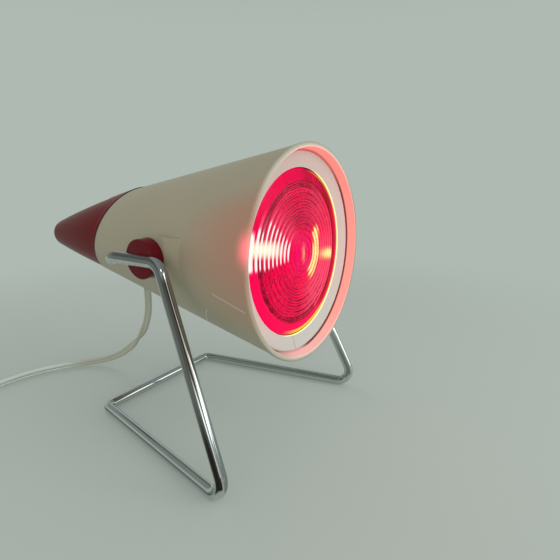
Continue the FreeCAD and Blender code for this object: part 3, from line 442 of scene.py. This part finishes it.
def makeGrip():
    clearSelection()
    long = plug["gripEnd"] - plug["gripStart"]
    bpy.ops.mesh.primitive_cube_add(size=1, location=(plug["x"], plug["gripStart"] + long / 2, plug["z"]))
    grip = bpy.context.object
    grip.name = "plug"
    bpy.ops.transform.resize(value=(plug["width"], long, plug["thickness"]))
    applyPlace()
    openMesh()
    bpy.ops.mesh.bisect(plane_co=(0, plug["shoulder"], 0), plane_no=(0, 1, 0))
    shape = bmesh.from_edit_mesh(grip.data)
    pick(shape, lambda co: co.y < (plug["gripStart"] + plug["shoulder"]) / 2)
    bmesh.update_edit_mesh(grip.data)
    bpy.ops.transform.resize(value=(plug["waist"] / plug["width"], 1, plug["frontShare"]),
                             center_override=(plug["x"], plug["gripStart"], plug["z"]))
    bpy.ops.mesh.select_all(action="SELECT")
    bpy.ops.mesh.bevel(offset=plug["round"], offset_type="OFFSET", segments=plug["roundSteps"], profile=0.5)
    bpy.ops.object.mode_set(mode="OBJECT")
    return grip


def makeSleeve():
    clearSelection()
    bpy.ops.mesh.primitive_circle_add(vertices=plug["sleeveSides"], radius=plug["sleeveTip"],
                                      fill_type="NGON", location=(plug["x"], plug["sleeveStart"], plug["z"]),
                                      rotation=(math.radians(90), 0, 0))
    sleeve = bpy.context.object
    applyPlace()
    openMesh()
    steps = plug["ribs"] * plug["ribSteps"]
    pace = (plug["gripStart"] - plug["sleeveStart"] + plug["sleeveTuck"]) / steps
    radius, place = plug["sleeveTip"], plug["sleeveStart"]
    for step in range(steps):
        place += pace
        wanted = plug["sleeveTip"] + (plug["sleeveRoot"] - plug["sleeveTip"]) * (step + 1) / steps
        if step % plug["ribSteps"] in (1, 2):              # the hollow between two ribs
            wanted -= plug["ribDepth"]
        bpy.ops.mesh.extrude_region_move(TRANSFORM_OT_translate={"value": (0, pace, 0)})
        bpy.ops.transform.resize(value=(wanted / radius, 1, wanted / radius),
                                 center_override=(plug["x"], place, plug["z"]))
        radius = wanted
    bpy.ops.object.mode_set(mode="OBJECT")
    return sleeve


def makeBar(bar):                      # on the upper side: the plug lies on its lower one
    clearSelection()
    place = (plug["x"], plug["gripStart"] + plug["barStart"] + plug["barPitch"] * bar,
             plug["z"] + plug["thickness"] / 2)
    bpy.ops.mesh.primitive_cube_add(size=1, location=place)
    one = bpy.context.object
    bpy.ops.transform.resize(value=(plug["barWidth"] + plug["barWiden"] * bar, plug["barThin"],
                                    2 * plug["barDepth"]))
    applyPlace()
    openMesh()
    bpy.ops.mesh.bevel(offset=plug["barRound"], offset_type="OFFSET", segments=2)
    bpy.ops.object.mode_set(mode="OBJECT")
    return one


def makePlug():
    grip = makeGrip()
    pieces = [makeSleeve()] + [makeBar(bar) for bar in range(plug["bars"])] + [grip]
    clearSelection()
    for piece in pieces:
        piece.select_set(True)
    bpy.context.view_layer.objects.active = grip
    bpy.ops.object.join()
    openMesh()
    bpy.ops.mesh.normals_make_consistent(inside=False)
    bpy.ops.object.mode_set(mode="OBJECT")
    bpy.ops.object.shade_smooth_by_angle(angle=math.radians(plug["smoothAngle"]))
    clearSelection()
    return grip


plugBody = makePlug()
print("plug shaped")


# finishes: lengths in metres, angles in radians, a span is where a change starts and ends

joint = {"y": 0.038, "z": 0.150, "slant": 28}      # where the cone meets the cap, slant in degrees


def pastJoint(y, z):                   # distance from the slanted joint, towards the cap
    slant = math.radians(joint["slant"])
    return (y - joint["y"]) * math.cos(slant) + (z - joint["z"]) * math.sin(slant)


def creamHousing():
    look = {
        "colour": (165, 158, 134), "worn": (150, 141, 118), "lipHighlight": (190, 194, 181), "reflectColour": (232, 222, 204),
        "gapShade": (74, 26, 20), "joint": (44, 12, 14), "shadow": (50, 6, 8), "unlit": (0, 0, 0),
        "inside": (230, 102, 106), "insideLow": (198, 124, 134),
        "spot": (255, 84, 108), "haze": (104, 36, 30), "glowBlush": (158, 118, 98),
        "cloudScale": 9.0, "speckScale": 900.0, "speckDepth": 0.00006,
        "rimRadius": 0.0780, "slope": 0.184,           # the plain cone at the mouth, and how fast it narrows
        "boreSkin": (-0.0032, -0.0016), "lipSkin": (-0.0012, -0.0005),         # outside the plain cone
        "recess": (0.018, 0.019), "paintedSeam": (0.0064, 0.0072), "front": (0.0004, 0.0010),     # behind the mouth
        "seamLeft": (-0.022, -0.008), "seamTop": (0.040, 0.066),
        "lipSides": (0.030, 0.062), "lipTop": (0.030, 0.064),
        "jointEdge": (-0.0016, -0.0008),
        "farWall": (-0.050, -0.010), "lowWall": (-0.075, -0.020),
        "leftSide": (-0.050, -0.040), "litSide": (-0.068, -0.050),
        "reflectLineDrop": 0.0257, "reflectLineSlope": 0.2216, "reflectLineWidth": (0.0001, 0.0006),
        "reflectLineRun": ((0.003, 0.006), (0.033, 0.037)),
        "reflectCurveDrop": 0.034, "reflectCurveBack": 0.0496, "reflectCurveSlope": 1.09, "reflectCurveWidth": (0.0002, 0.0008),
        "reflectCurveRun": ((0.048, 0.050), (0.061, 0.063)),
        "spotHeight": 0.1655, "spotWeights": (5600, 2800), "spotReach": (0.0, 1.1),
        "hazeWeights": (150, 190), "hazeReach": (0.0, 1.0),
    }
    finish = Finish("creamHousing", look, Specular_IOR_Level=0.35, Emission_Strength=1.0)
    x, y, z = finish.split(finish.place)
    up, back = z - mouth.z, y - mouth.y
    radius = (x * x + up * up) ** 0.5
    skin = radius + back * look["slope"] - look["rimRadius"]         # distance outside the plain cone
    inside = finish.fall(skin, "boreSkin") * finish.fall(back, "recess")
    # painted shade: a dark line in the gap between the ring and the mouth's wall, weaker at the top
    paintedSeam = inside * finish.ease(back, "paintedSeam") * (0.2 + 0.8 * finish.ease(x + up * 0.25, "seamLeft"))
    paintedSeam = paintedSeam * (1 - 0.5 * finish.ease(up, "seamTop"))
    # painted highlight: a lighter band on the lip, stronger at the sides and at the top
    lipHighlight = finish.fall(skin, "lipSkin") * (0.12 + 0.50 * finish.ease(abs(up), "lipSides"))
    lipHighlight = finish.fall(back, "front") * (lipHighlight + 0.15 * finish.ease(up, "lipTop"))
    # two painted reflections of the stand's wire, as light lines on the left side
    left = finish.fall(x, "leftSide")
    reflectLine = finish.fall(abs(up + look["reflectLineDrop"] - back * look["reflectLineSlope"]), "reflectLineWidth")
    reflectLine = reflectLine * finish.within(back, "reflectLineRun") * left
    reflectCurve = (back - look["reflectCurveBack"]) * look["reflectCurveSlope"]
    reflectCurve = finish.fall(abs(up + look["reflectCurveDrop"] + reflectCurve), "reflectCurveWidth")
    reflectCurve = reflectCurve * finish.within(back, "reflectCurveRun") * left
    # painted shade: a dark line on the cone along its joint with the cap, in the colour and as a faint dark red
    # emission
    jointShade = finish.ease(pastJoint(y, z), "jointEdge")
    height = z - look["spotHeight"]
    outside = finish.fall(x, "litSide") * (1 - inside)
    # painted glow: a reddish haze round the glowing spot, in the colour and as emission
    haze = finish.fall(ellipse(back, height, look["hazeWeights"]), "hazeReach") * outside
    cloud = finish.noise(finish.place, look["cloudScale"], 2.0)
    specks = finish.noise(finish.place, look["speckScale"], 2.0)
    colour = finish.mix(cloud * 0.5, "colour", "worn")
    colour = finish.mix(jointShade * 0.95, colour, "joint")
    colour = finish.mix(haze * 0.75, colour, "glowBlush")
    colour = finish.mix(lipHighlight, colour, "lipHighlight")
    colour = finish.mix(reflectLine * 0.5 + reflectCurve * 0.7, colour, "reflectColour")
    finish.feed("Base Color", finish.mix(paintedSeam, colour, "gapShade"))
    finish.feed("Roughness", 0.32 + cloud * 0.12)
    finish.bump(specks * 0.6 + cloud * 0.4, look["speckDepth"], 0.5)
    # painted glow: the lit bulb's red painted onto the mouth's wall, and a glowing spot on the rim beside its
    # hottest streaks, all as emission
    far = 0.2 + 0.8 * finish.ease(x, "farWall")
    wall = finish.mix(finish.ease(up + x * 0.6, "lowWall"), "insideLow", "inside")
    glow = finish.mix(inside * far * (1 - paintedSeam * 0.85), "unlit", wall)
    glow = finish.mix(haze * 0.5, glow, "haze")
    glow = finish.mix(jointShade * 0.9, glow, "shadow")
    spot = finish.fall(ellipse(back, height, look["spotWeights"]), "spotReach") ** 2.0
    finish.feed("Emission Color", finish.mix(spot * outside * 0.88, glow, "spot"))
    return finish.material


def satinSkin(finish, rough, grain, depth):        # fine specks in gloss and height, and a cloud for the colour
    specks = finish.noise(finish.place, grain, 2.0)
    finish.feed("Roughness", rough + specks * 0.12)
    finish.bump(specks, depth, 0.5)
    return finish.noise(finish.place, 22.0, 3.0)


def satinPlastic(name, colour, shade, rough=0.42, grain=700.0, depth=0.00004):
    finish = Finish(name, {"colour": colour, "shade": shade})
    finish.feed("Base Color", finish.mix(satinSkin(finish, rough, grain, depth), "colour", "shade"))
    return finish.material


def ringPlastic():
    look = {
        "colour": (208, 200, 192), "shade": (194, 186, 179), "foot": (188, 198, 188), "unlit": (0, 0, 0),
        "glow": (86, 22, 26), "leakGlow": (255, 226, 120), "paintedSeam": (128, 104, 96),
        "rough": 0.38, "grain": 700.0, "depth": 0.00004,
        "redRise": (-0.070, -0.030),
        "leakEdge": (0.0617, 0.0621), "leakSide": (-0.010, 0.010),
        "splitLine": (-0.0104, (0.0002, 0.0008)), "splitTop": (-0.056, -0.054),
    }
    finish = Finish("ringPlastic", look, Specular_IOR_Level=0.3, Emission_Strength=1.0)
    x, _, z = finish.split(finish.place)
    up = z - mouth.z
    radius = (x * x + up * up) ** 0.5
    red = finish.ease(up - x * 0.2, "redRise")                 # the lens's red fades towards the bottom
    colour = finish.mix(satinSkin(finish, look["rough"], look["grain"], look["depth"]), "colour", "shade")
    # painted light: the base colour turns a greyer green towards the bottom, where the lens's red gives way
    finish.feed("Base Color", finish.mix(0.7 - 0.7 * red, colour, "foot"))
    # painted light: a yellow light leaking past the lens's edge, the lens's red on the ring and a lighter glow in
    # the split, all as emission
    leakGlow = finish.fall(radius, "leakEdge") * finish.ease(x - up * 0.4, "leakSide")
    glow = finish.mix(0.10 + 0.90 * red, "unlit", "glow")
    glow = finish.mix(finish.near(x, "splitLine") * finish.fall(up, "splitTop"), glow, "paintedSeam")
    finish.feed("Emission Color", finish.mix(leakGlow, glow, "leakGlow"))
    return finish.material


def glossyRed(name, deep, bright, rough, shine, joined=False):
    look = {
        "deep": deep, "bright": bright, "edgeHighlight": (150, 20, 38), "gapShade": (26, 5, 7),
        "cloudScale": 14.0, "hazeScale": 380.0, "hazeDepth": 0.00001,
        "rolledEdge": ((0.0030, 0.0042), (0.0052, 0.0080)), "rolledTop": (0.155, 0.185),
        "gapShadeEnd": (0.0028, 0.0036),
    }
    finish = Finish(name, look, Specular_IOR_Level=shine)
    haze = finish.noise(finish.place, look["hazeScale"], 3.0)
    colour = finish.mix(finish.noise(finish.place, look["cloudScale"], 2.0), "deep", "bright")
    if joined:                         # painted shade in the joint and a painted highlight on the rolled edge behind it, brighter at the top
        _, y, z = finish.split(finish.place)
        edge = pastJoint(y, z)
        edgeHighlight = finish.within(edge, "rolledEdge") * (0.28 + 0.62 * finish.ease(z, "rolledTop"))
        colour = finish.mix(edgeHighlight, colour, "edgeHighlight")
        colour = finish.mix(0.95 * finish.fall(edge, "gapShadeEnd"), colour, "gapShade")
    finish.feed("Base Color", colour)
    finish.feed("Roughness", rough + haze * 0.08)
    finish.bump(haze, look["hazeDepth"], 0.25)
    return finish.material


def rubyGlass():
    look = {
        "glass": (40, 0, 6), "middle": (242, 6, 96), "field": (246, 4, 74), "band": (255, 0, 80),
        "groove": (112, 0, 28), "deep": (150, 2, 24), "fringe": (255, 120, 150), "hot": (255, 252, 244),
        "blaze": (255, 254, 214), "warm": (255, 250, 164), "amber": (255, 202, 58),
        # texture of the pressed glass
        "waveScale": 260.0, "driftScale": 38.0, "gritScale": 1100.0, "stippleScale": 640.0, "patchScale": 45.0,
        "wave": 0.16, "drift": 0.42, "hairRings": 3.0, "hairWave": 1.1, "stippleDepth": 0.00010,
        "brokenCut": (0.36, 0.62), "dashedCut": (0.38, 0.60), "pittedCut": (0.36, 0.60),
        "fleckCut": (0.50, 0.64), "glintCut": (0.42, 0.32), "patchCut": (0.35, 0.62),
        # across one ring, in shares of the pitch: a middle and its span
        "ringPitch": 0.052 / 12,
        "grooveLine": (0.10, (0.03, 0.15)), "betweenLine": (0.62, (0.02, 0.12)), "hairLine": (0.5, (0.06, 0.24)),
        "crestLine": (0.55, (0.05, 0.26)), "broadLine": (0.55, (0.12, 0.38)),
        # over the face: distance from its middle, to the right, or up
        "middleEnd": (0.004, 0.022), "ringsEnd": (0.0520, 0.0530), "rightHalf": (-0.010, 0.022),
        "outerLine": (0.0500, (0.0008, 0.0030)), "outerSides": (0.010, 0.035), "shadeSides": (0.000, 0.030),
        "milkyStart": (0.018, 0.030), "milkyTop": (-0.002, 0.016),
        "crown": ((0.014, 0.024), (0.036, 0.046)), "crownSides": (0.008, 0.028), "heel": (0.020, 0.042),
        "upperField": (0.008, 0.022), "above": (0.006, 0.022), "upperBand": (0.010, 0.040),
        "rightBand": ((0.0500, 0.0520), (0.0560, 0.0578)), "rightBandSide": (0.006, 0.024),
        "topBand": ((0.35, 0.75), (1.35, 1.60)),                       # these three by angle
        "overBand": ((1.35, 1.60), (1.90, 2.20)), "leftBand": ((2.05, 2.30), (2.65, 2.90)),
        # the fan of hot streaks
        "fanTop": 0.845, "fanTopDrop": 0.0026, "fanBottom": 0.07,
        "topStep": (0.0474, 0.0486), "topStepDrop": 0.0135, "edgeStep": (0.0555, 0.0570), "edgeStepDrop": 0.0085,
        "lowStep": (0.0460, 0.0500), "lowStepDrop": 0.0013, "lastStep": (0.054, 0.059), "lastStepDrop": 0.0007,
        "fanLeft": (0.006, 0.012), "fanStart": (0.0172, 0.0186), "fanUnder": (-0.0035, 0.0025),
        "fanOver": (-0.0080, 0.0040), "tailOver": (-0.002, 0.020), "tailUnder": (0.0, 0.004),
        "coreUp": 0.0022, "coreSlope": 0.16, "coreWidth": (0.0010, 0.0075), "coreRise": (0.020, 0.042),
        "lineCut": (0.40, 0.90), "secondLine": (0.0540, (0.0008, 0.0018)), "outermost": (0.0568, 0.0582),
        "streakFringe": (0.02, 0.40), "streakHot": (0.25, 0.75),
        # yellow arcs, the tongue beside them, the ember in the middle and the lit edge
        "arcLean": (0.0, 0.7), "arcLeanBy": 0.0040,
        "arcTurn": ((-1.30, -0.80), (0.60, 0.90)), "arcRadius": ((0.0115, 0.0185), (0.0205, 0.0268)),
        "tongueUp": 0.001, "tongueSlope": 0.13, "tongueWidth": (0.0, 0.0084),
        "tongueRun": ((0.012, 0.046), (0.047, 0.053)),
        "emberRight": 0.001, "emberWeights": (4.0, 0.5), "emberReach": (0.0, 0.009),
        "warmTint": (0.10, 0.60), "warmCover": (0.0, 0.75),
        "edgeLow": (-1.15, -0.70), "edgeLowBy": 0.0018, "edgeRadius": (0.0592, 0.0602),
        "edgeTurn": ((-2.00, -1.55), (1.00, 1.45)), "edgeMiddle": -0.1, "edgeSides": (0.35, 0.80),
    }
    finish = Finish("rubyGlass", look, Roughness=0.16, Specular_IOR_Level=0.05, Emission_Strength=1.0)
    x, _, z = finish.split(finish.place)
    up, left = z - mouth.z, 0 - x
    radius = (x * x + up * up) ** 0.5
    angle = finish.node("ShaderNodeMath", {"operation": "ARCTAN2"}, {0: up, 1: x})
    ringed, right = finish.fall(radius, "ringsEnd"), finish.ease(x, "rightHalf")
    plain = 1 - ringed

    # rings: a dark groove at each step of the pressed glass, waved and broken by the stipple
    wave = finish.noise(finish.place, look["waveScale"], 2.0) - 0.5
    drift = finish.noise(finish.place, look["driftScale"], 1.0) - 0.5
    ringPlace = radius / look["ringPitch"] + wave * look["wave"] + drift * look["drift"]
    phase = ringPlace % 1.0
    ring = ringPlace - phase
    turn = finish.join(angle * 1.7, ring * 3.7)
    broken = finish.ease(finish.noise(turn, 1.0, 2.0), "brokenCut")        # each ring light and dark in turn
    dashes = finish.join(angle * 7.0, ring * 5.3, radius * 40.0)
    dashed = finish.ease(finish.noise(dashes, 1.0, 3.0, 0.7), "dashedCut")
    pitted = finish.ease(finish.noise(finish.place, look["gritScale"], 2.0, 0.8), "pittedCut")
    patch = finish.ease(finish.noise(finish.place, look["patchScale"], 2.0), "patchCut")
    stipple = finish.noise(finish.place, look["stippleScale"], 2.0, 0.75)
    flecks, glints = finish.ease(stipple, "fleckCut"), finish.ease(stipple, "glintCut")
    hair = finish.near((ringPlace * look["hairRings"] + wave * look["hairWave"]) % 1.0, "hairLine")
    shade = 0.30 + 0.70 * finish.ease(abs(up) - x * 0.5, "shadeSides")     # darkest above and below
    crown = finish.within(up, "crown") * finish.fall(abs(x), "crownSides")
    heel = finish.ease(0 - up - x * 0.8, "heel")
    dark = finish.near(phase, "grooveLine") * (0.30 + 0.95 * broken) * (0.60 * dashed + 0.80 * pitted)
    between = finish.near(phase, "betweenLine") * (1 - broken * 0.6)
    dark = dark + between * (0.15 + 0.65 * patch) * (0.5 + 0.7 * dashed)
    dark = dark * shade * (1.0 + 0.5 * crown + 0.5 * heel) + (crown * 1.3 + heel) * broken * 0.30
    dark = ringed * (dark + finish.ease(up, "upperField") * (0.07 + 0.16 * pitted))
    outer = finish.near(radius, "outerLine") * finish.ease(abs(up) - x, "outerSides")
    dark = dark + outer * (0.40 + 0.50 * dashed) * (0.55 + 0.70 * pitted)
    dark = dark + flecks * (0.07 + 0.34 * ringed * shade)

    # the plain band round the rings, darker in patches
    band = finish.within(angle, "topBand") * (0.34 + 0.60 * flecks)
    band = band + finish.within(angle, "overBand") * (0.14 + 0.30 * patch * pitted)
    band = band + finish.within(angle, "leftBand") * (0.10 + 0.35 * patch) * pitted
    band = band + finish.ease(up, "upperBand") * (1 - patch) * 0.22
    dark = dark + plain * band

    milky = right * ringed * finish.ease(radius, "milkyStart")
    milky = milky * (1 + 0.35 * right - 0.85 * finish.ease(up, "milkyTop"))
    above = finish.ease(up - x * 0.4, "above")
    hair = hair * ringed * above * (0.03 + 0.16 * patch * broken + 0.20 * dashed * pitted)
    glints = glints * ringed * (0.12 + 0.16 * right) * (1 - 0.6 * above)
    rightBand = finish.within(radius, "rightBand") * finish.ease(x - abs(up) * 0.3, "rightBandSide")
    colour = finish.mix(finish.ease(radius, "middleEnd"), "middle", "field")
    colour = finish.mix(milky * (0.04 + 0.36 * stipple), colour, "fringe")
    colour = finish.mix(plain * (1 - right * 0.4), colour, "band")
    colour = finish.mix(finish.clamp(dark * 0.90), colour, "groove")
    colour = finish.mix(hair, colour, "fringe")
    colour = finish.mix(glints, colour, "fringe")
    colour = finish.mix(rightBand * 0.85, colour, "deep")

    # the filament and the bowl show as a fan of hot streaks that follow the rings
    share = (radius / look["ringPitch"]) % 1.0
    crest, broad = finish.near(share, "crestLine"), finish.near(share, "broadLine")
    top = look["fanTop"] * left - look["fanTopDrop"] - look["topStepDrop"] * finish.ease(radius, "topStep")
    top = top - look["edgeStepDrop"] * finish.ease(radius, "edgeStep")
    bottom = look["fanBottom"] * left - look["lowStepDrop"] * finish.ease(left, "lowStep")
    bottom = bottom - look["lastStepDrop"] * finish.ease(left, "lastStep")
    fan = finish.ease(left, "fanLeft") * finish.ease(radius, "fanStart")
    core = finish.fall(abs(up - look["coreUp"] - look["coreSlope"] * left), "coreWidth")
    second = finish.near(radius, "secondLine") * plain
    lines = finish.ease(crest + core * 0.40, "lineCut") * ringed + second + finish.ease(radius, "outermost")
    streak = lines * fan * finish.ease(up + bottom, "fanUnder") * finish.fall(up - top, "fanOver")
    streak = finish.clamp(streak)
    tail = finish.fall(up - top, "tailOver") * finish.ease(up, "tailUnder")
    trail = finish.clamp((crest * ringed + second) * fan * tail)
    colour = finish.mix(trail * 0.55, colour, "fringe")
    colour = finish.mix(finish.ease(streak, "streakFringe"), colour, "fringe")
    colour = finish.mix(core * finish.ease(left, "coreRise") * 0.94, colour, "blaze")
    colour = finish.mix(finish.ease(streak, "streakHot"), colour, "hot")

    # its light returns at the right as yellow arcs, and along the edge of the glass
    lean = radius - look["arcLeanBy"] * finish.ease(angle, "arcLean")
    arcs = finish.within(angle, "arcTurn") * finish.within(lean, "arcRadius")
    tongue = finish.fall(abs(up + look["tongueUp"] + look["tongueSlope"] * x), "tongueWidth")
    tongue = tongue * finish.within(x, "tongueRun") * 0.88 * (0.72 + 0.16 * crest)
    ember = finish.fall(ellipse(x - look["emberRight"], up, look["emberWeights"]), "emberReach") * 0.34
    warmth = arcs * (0.40 + 0.95 * broad) * (0.70 + 0.5 * pitted) + tongue * (0.75 + 0.4 * pitted)
    warmth = finish.clamp(warmth + ember)
    tint = finish.mix(finish.ease(warmth, "warmTint"), "amber", "warm")
    colour = finish.mix(finish.ease(warmth, "warmCover"), colour, tint)
    edge = finish.ease(radius + finish.fall(angle, "edgeLow") * look["edgeLowBy"], "edgeRadius")
    edge = edge * finish.within(angle, "edgeTurn")
    sides = finish.ease(abs(angle - look["edgeMiddle"]), "edgeSides")      # yellow above and below, pale between
    colour = finish.mix(edge * (0.30 + 0.70 * sides), colour, finish.mix(sides, "warm", "amber"))
    finish.feed("Base Color", finish.mix(patch * 0.5, "glass", "groove"))
    finish.feed("Emission Color", colour)
    finish.bump(stipple, look["stippleDepth"], 0.5)
    return finish.material


def polishedMetal(name, colour, shade, rough, stretch=(1, 1, 1)):
    look = {"colour": colour, "shade": shade, "cloudScale": 40.0, "brushScale": 300.0, "brushDepth": 0.00002}
    finish = Finish(name, look, Metallic=1.0)
    cloud = finish.noise(finish.place, look["cloudScale"], 4.0)
    brushed = finish.noise(finish.place, look["brushScale"], 3.0, 0.6, stretch)
    finish.feed("Base Color", finish.mix(cloud * 0.5, "colour", "shade"))
    finish.feed("Roughness", rough + brushed * 0.08 + cloud * 0.05)
    finish.bump(brushed, look["brushDepth"], 0.3)
    return finish.material


def chromeRod():
    look = {
        "bright": (226, 230, 230), "dim": (176, 180, 176), "dark": (52, 42, 40), "brownReflection": (112, 98, 88),
        "flank": (128, 134, 138),
        "waverScale": 18.0, "scuffScale": 420.0, "scuffDepth": 0.00001, "streakCut": (0.34, 0.66),
        # turns of the surface, as shares of its normal
        "across": (0.588, -0.760, 0.280),      # from the shaded to the bright flank of a leg
        "outside": (-0.10, 0.25), "darkStart": (-0.80, -0.64), "darkEnd": (-0.04, 0.10),
        "darkTop": (-0.14, -0.02), "darkShift": 0.24, "barLine": ((0.10, 0.20), (0.42, 0.55)),
        "tanStart": (-0.20, 0.05), "tanEnd": (0.34, 0.50), "shadedStart": (0.36, 0.60),
        "glareLine": (0.52, (0.12, 0.26)),
        # heights on the legs, and places across the stand
        "legStart": (0.008, 0.013), "shiftEnd": (0.030, 0.090), "footEnd": (0.030, 0.072),
        "tanRun": ((0.056, 0.092), (0.138, 0.146)), "glareRun": ((0.048, 0.084), (0.138, 0.146)),
        "shadedSide": (0.0, 0.05), "glareSide": (-0.02, 0.02),
    }
    finish = Finish("chromeRod", look, Metallic=1.0)
    normal = finish.node("ShaderNodeTexCoord", {}, {}, "Normal")
    nx, ny, nz = finish.split(normal)
    x, _, z = finish.split(finish.place)
    flank = finish.node("ShaderNodeVectorMath", {"operation": "DOT_PRODUCT"}, {0: normal, 1: look["across"]}, 1)
    run = finish.join(flank * 11.0, z * 6.0, nz * 5.0)
    streaks = finish.ease(finish.noise(run, 1.0, 2.0), "streakCut")
    waver = finish.noise(finish.place, look["waverScale"], 2.0)
    scuffs = finish.noise(finish.place, look["scuffScale"], 3.0, 0.7)
    leg, foot = finish.ease(z, "legStart"), finish.fall(z, "footEnd")
    shift = look["darkShift"] * finish.fall(z, "shiftEnd")
    outward = finish.fall(nx * 0.81 + ny * 0.55, "outside")
    # painted reflections: dark bands along the legs and a dark line along the bars, set by the surface's normal,
    # stand in for the surroundings mirrored in the chrome
    dark = finish.ease(flank, "darkStart") * finish.fall(flank - shift, "darkEnd") * finish.ease(nz, "darkTop")
    dark = dark * leg * outward * (0.50 - x * 2.6 + foot * 0.40) * (0.80 + 0.20 * streaks)
    dark = dark + finish.within(nz, "barLine") * (1 - leg) * (0.30 + 0.60 * streaks)
    # painted shade on the near leg's bright flank, a brown painted reflection on the upper legs, and dark paint
    # over the lamp's highlight on the upper near leg
    shaded = finish.ease(flank, "shadedStart") * leg * (0.30 + 0.45 * foot) * finish.fall(x, "shadedSide")
    tanReflection = finish.within(z, "tanRun") * finish.ease(flank, "tanStart") * (1 - 0.7 * finish.ease(flank, "tanEnd"))
    glareDimming = finish.near(flank, "glareLine") * finish.within(z, "glareRun") * finish.fall(x, "glareSide")
    colour = finish.mix(waver * 0.4 + streaks * 0.3, "bright", "dim")
    colour = finish.mix(shaded, colour, "flank")
    colour = finish.mix(tanReflection * (0.6 - x * 3.8), colour, "brownReflection")
    colour = finish.mix(glareDimming * (0.70 + 0.25 * streaks), colour, "dark")
    finish.feed("Base Color", finish.mix(finish.clamp(dark), colour, "dark"))
    finish.feed("Roughness", 0.05 + scuffs * 0.07)
    finish.bump(scuffs, look["scuffDepth"], 0.25)
    return finish.material


def flexSheath():
    look = {
        "sheath": (184, 186, 168), "dull": (160, 163, 145), "lyingSheen": (216, 226, 218),
        "web": (206, 200, 180), "creaseShade": (128, 130, 116),
        "cloudScale": 45.0, "lineScale": 6.0, "lineDepth": 0.00005,
        "lying": (1.40, 1.80),                 # pattern units along the cord: the stretch on the floor is painted lighter, a painted sheen
        "webShift": 0.6, "webLine": (0.5, (0.03, 0.10)),
    }
    finish = Finish("cordSheath", look)
    along = finish.node("ShaderNodeTexCoord", {}, {}, "UV")
    u, v, _ = finish.split(along)
    lines = finish.node("ShaderNodeTexWave", {"wave_type": "BANDS", "bands_direction": "Y"},
                        {"Vector": along, "Scale": look["lineScale"], "Distortion": 1.0, "Detail": 2.0}, 1)
    cloud = finish.noise(finish.place, look["cloudScale"], 3.0)
    lying = finish.ease(u, "lying")
    # along the line between the cores: a painted highlight on the hanging stretch, painted shade in the crease on
    # the floor
    web = finish.near((v * 2.0 + look["webShift"]) % 1.0, "webLine")
    colour = finish.mix(cloud * 0.6 + lines * 0.2, "sheath", "dull")
    colour = finish.mix(lying * 0.9, colour, "lyingSheen")
    colour = finish.mix(web * 0.8, colour, finish.mix(lying, "web", "creaseShade"))
    finish.feed("Base Color", colour)
    finish.feed("Roughness", 0.40 + cloud * 0.18)
    finish.bump(lines * 0.5 + cloud * 0.5, look["lineDepth"], 0.4)
    return finish.material


finishes = {
    "cream_housing": creamHousing(),
    "red_cap": glossyRed("redCap", (90, 6, 12), (102, 9, 16), 0.20, 0.03, joined=True),
    "red_disc": glossyRed("redDisc", (88, 14, 22), (100, 18, 26), 0.26, 0.12),
    "ring_plastic": ringPlastic(),
    "ruby_glass": rubyGlass(),
    "silvered_glass": polishedMetal("silveredGlass", (214, 214, 210), (178, 176, 170), 0.08),
    "bulb_aluminium": polishedMetal("bulbAluminium", (196, 197, 198), (160, 161, 162), 0.28),
    "bulb_brass": polishedMetal("bulbBrass", (196, 164, 98), (150, 118, 62), 0.24),
    "black_glass": satinPlastic("blackGlass", (24, 23, 26), (12, 12, 14), 0.12),
    "tungsten": polishedMetal("tungstenWire", (120, 118, 116), (84, 82, 80), 0.40),
    "holder_ceramic": satinPlastic("holderCeramic", (226, 223, 214), (204, 200, 190), 0.22),
    "bracket_steel": polishedMetal("bracketSteel", (176, 178, 180), (134, 136, 140), 0.34, stretch=(1, 8, 1)),
    "screw_steel": polishedMetal("screwSteel", (170, 172, 172), (120, 122, 124), 0.26),
    "grommet_rubber": satinPlastic("grommetRubber", (66, 66, 60), (44, 44, 40), 0.62, grain=500.0, depth=0.00008),
    "cord_sheath": flexSheath(),
    "core_insulation": satinPlastic("coreInsulation", (120, 74, 48), (92, 54, 34), 0.40),
    "plug_plastic": satinPlastic("plugPlastic", (190, 192, 174), (170, 172, 154), grain=520.0, depth=0.00006),
    "pin_metal": polishedMetal("pinMetal", (202, 198, 188), (158, 152, 140), 0.20),
    "chrome_wire": chromeRod(),
}


def dressNodes():
    for entry in frame["record"]["subparts"]:
        piece = nodes[entry["node"]]
        if not piece.material_slots:
            piece.data.materials.append(None)
        for holder in piece.material_slots:
            holder.material = finishes[entry["material_slot"]]


dressNodes()
flex.data.materials.append(finishes["cord_sheath"])
plugBody.data.materials.append(finishes["plug_plastic"])
print("finishes on")


# what each piece moves with

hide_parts("plug_body")
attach(plugBody, "stand")
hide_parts("cord_drop", "cord_floor", "cord_coil", "cord_tail")
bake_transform(flex)
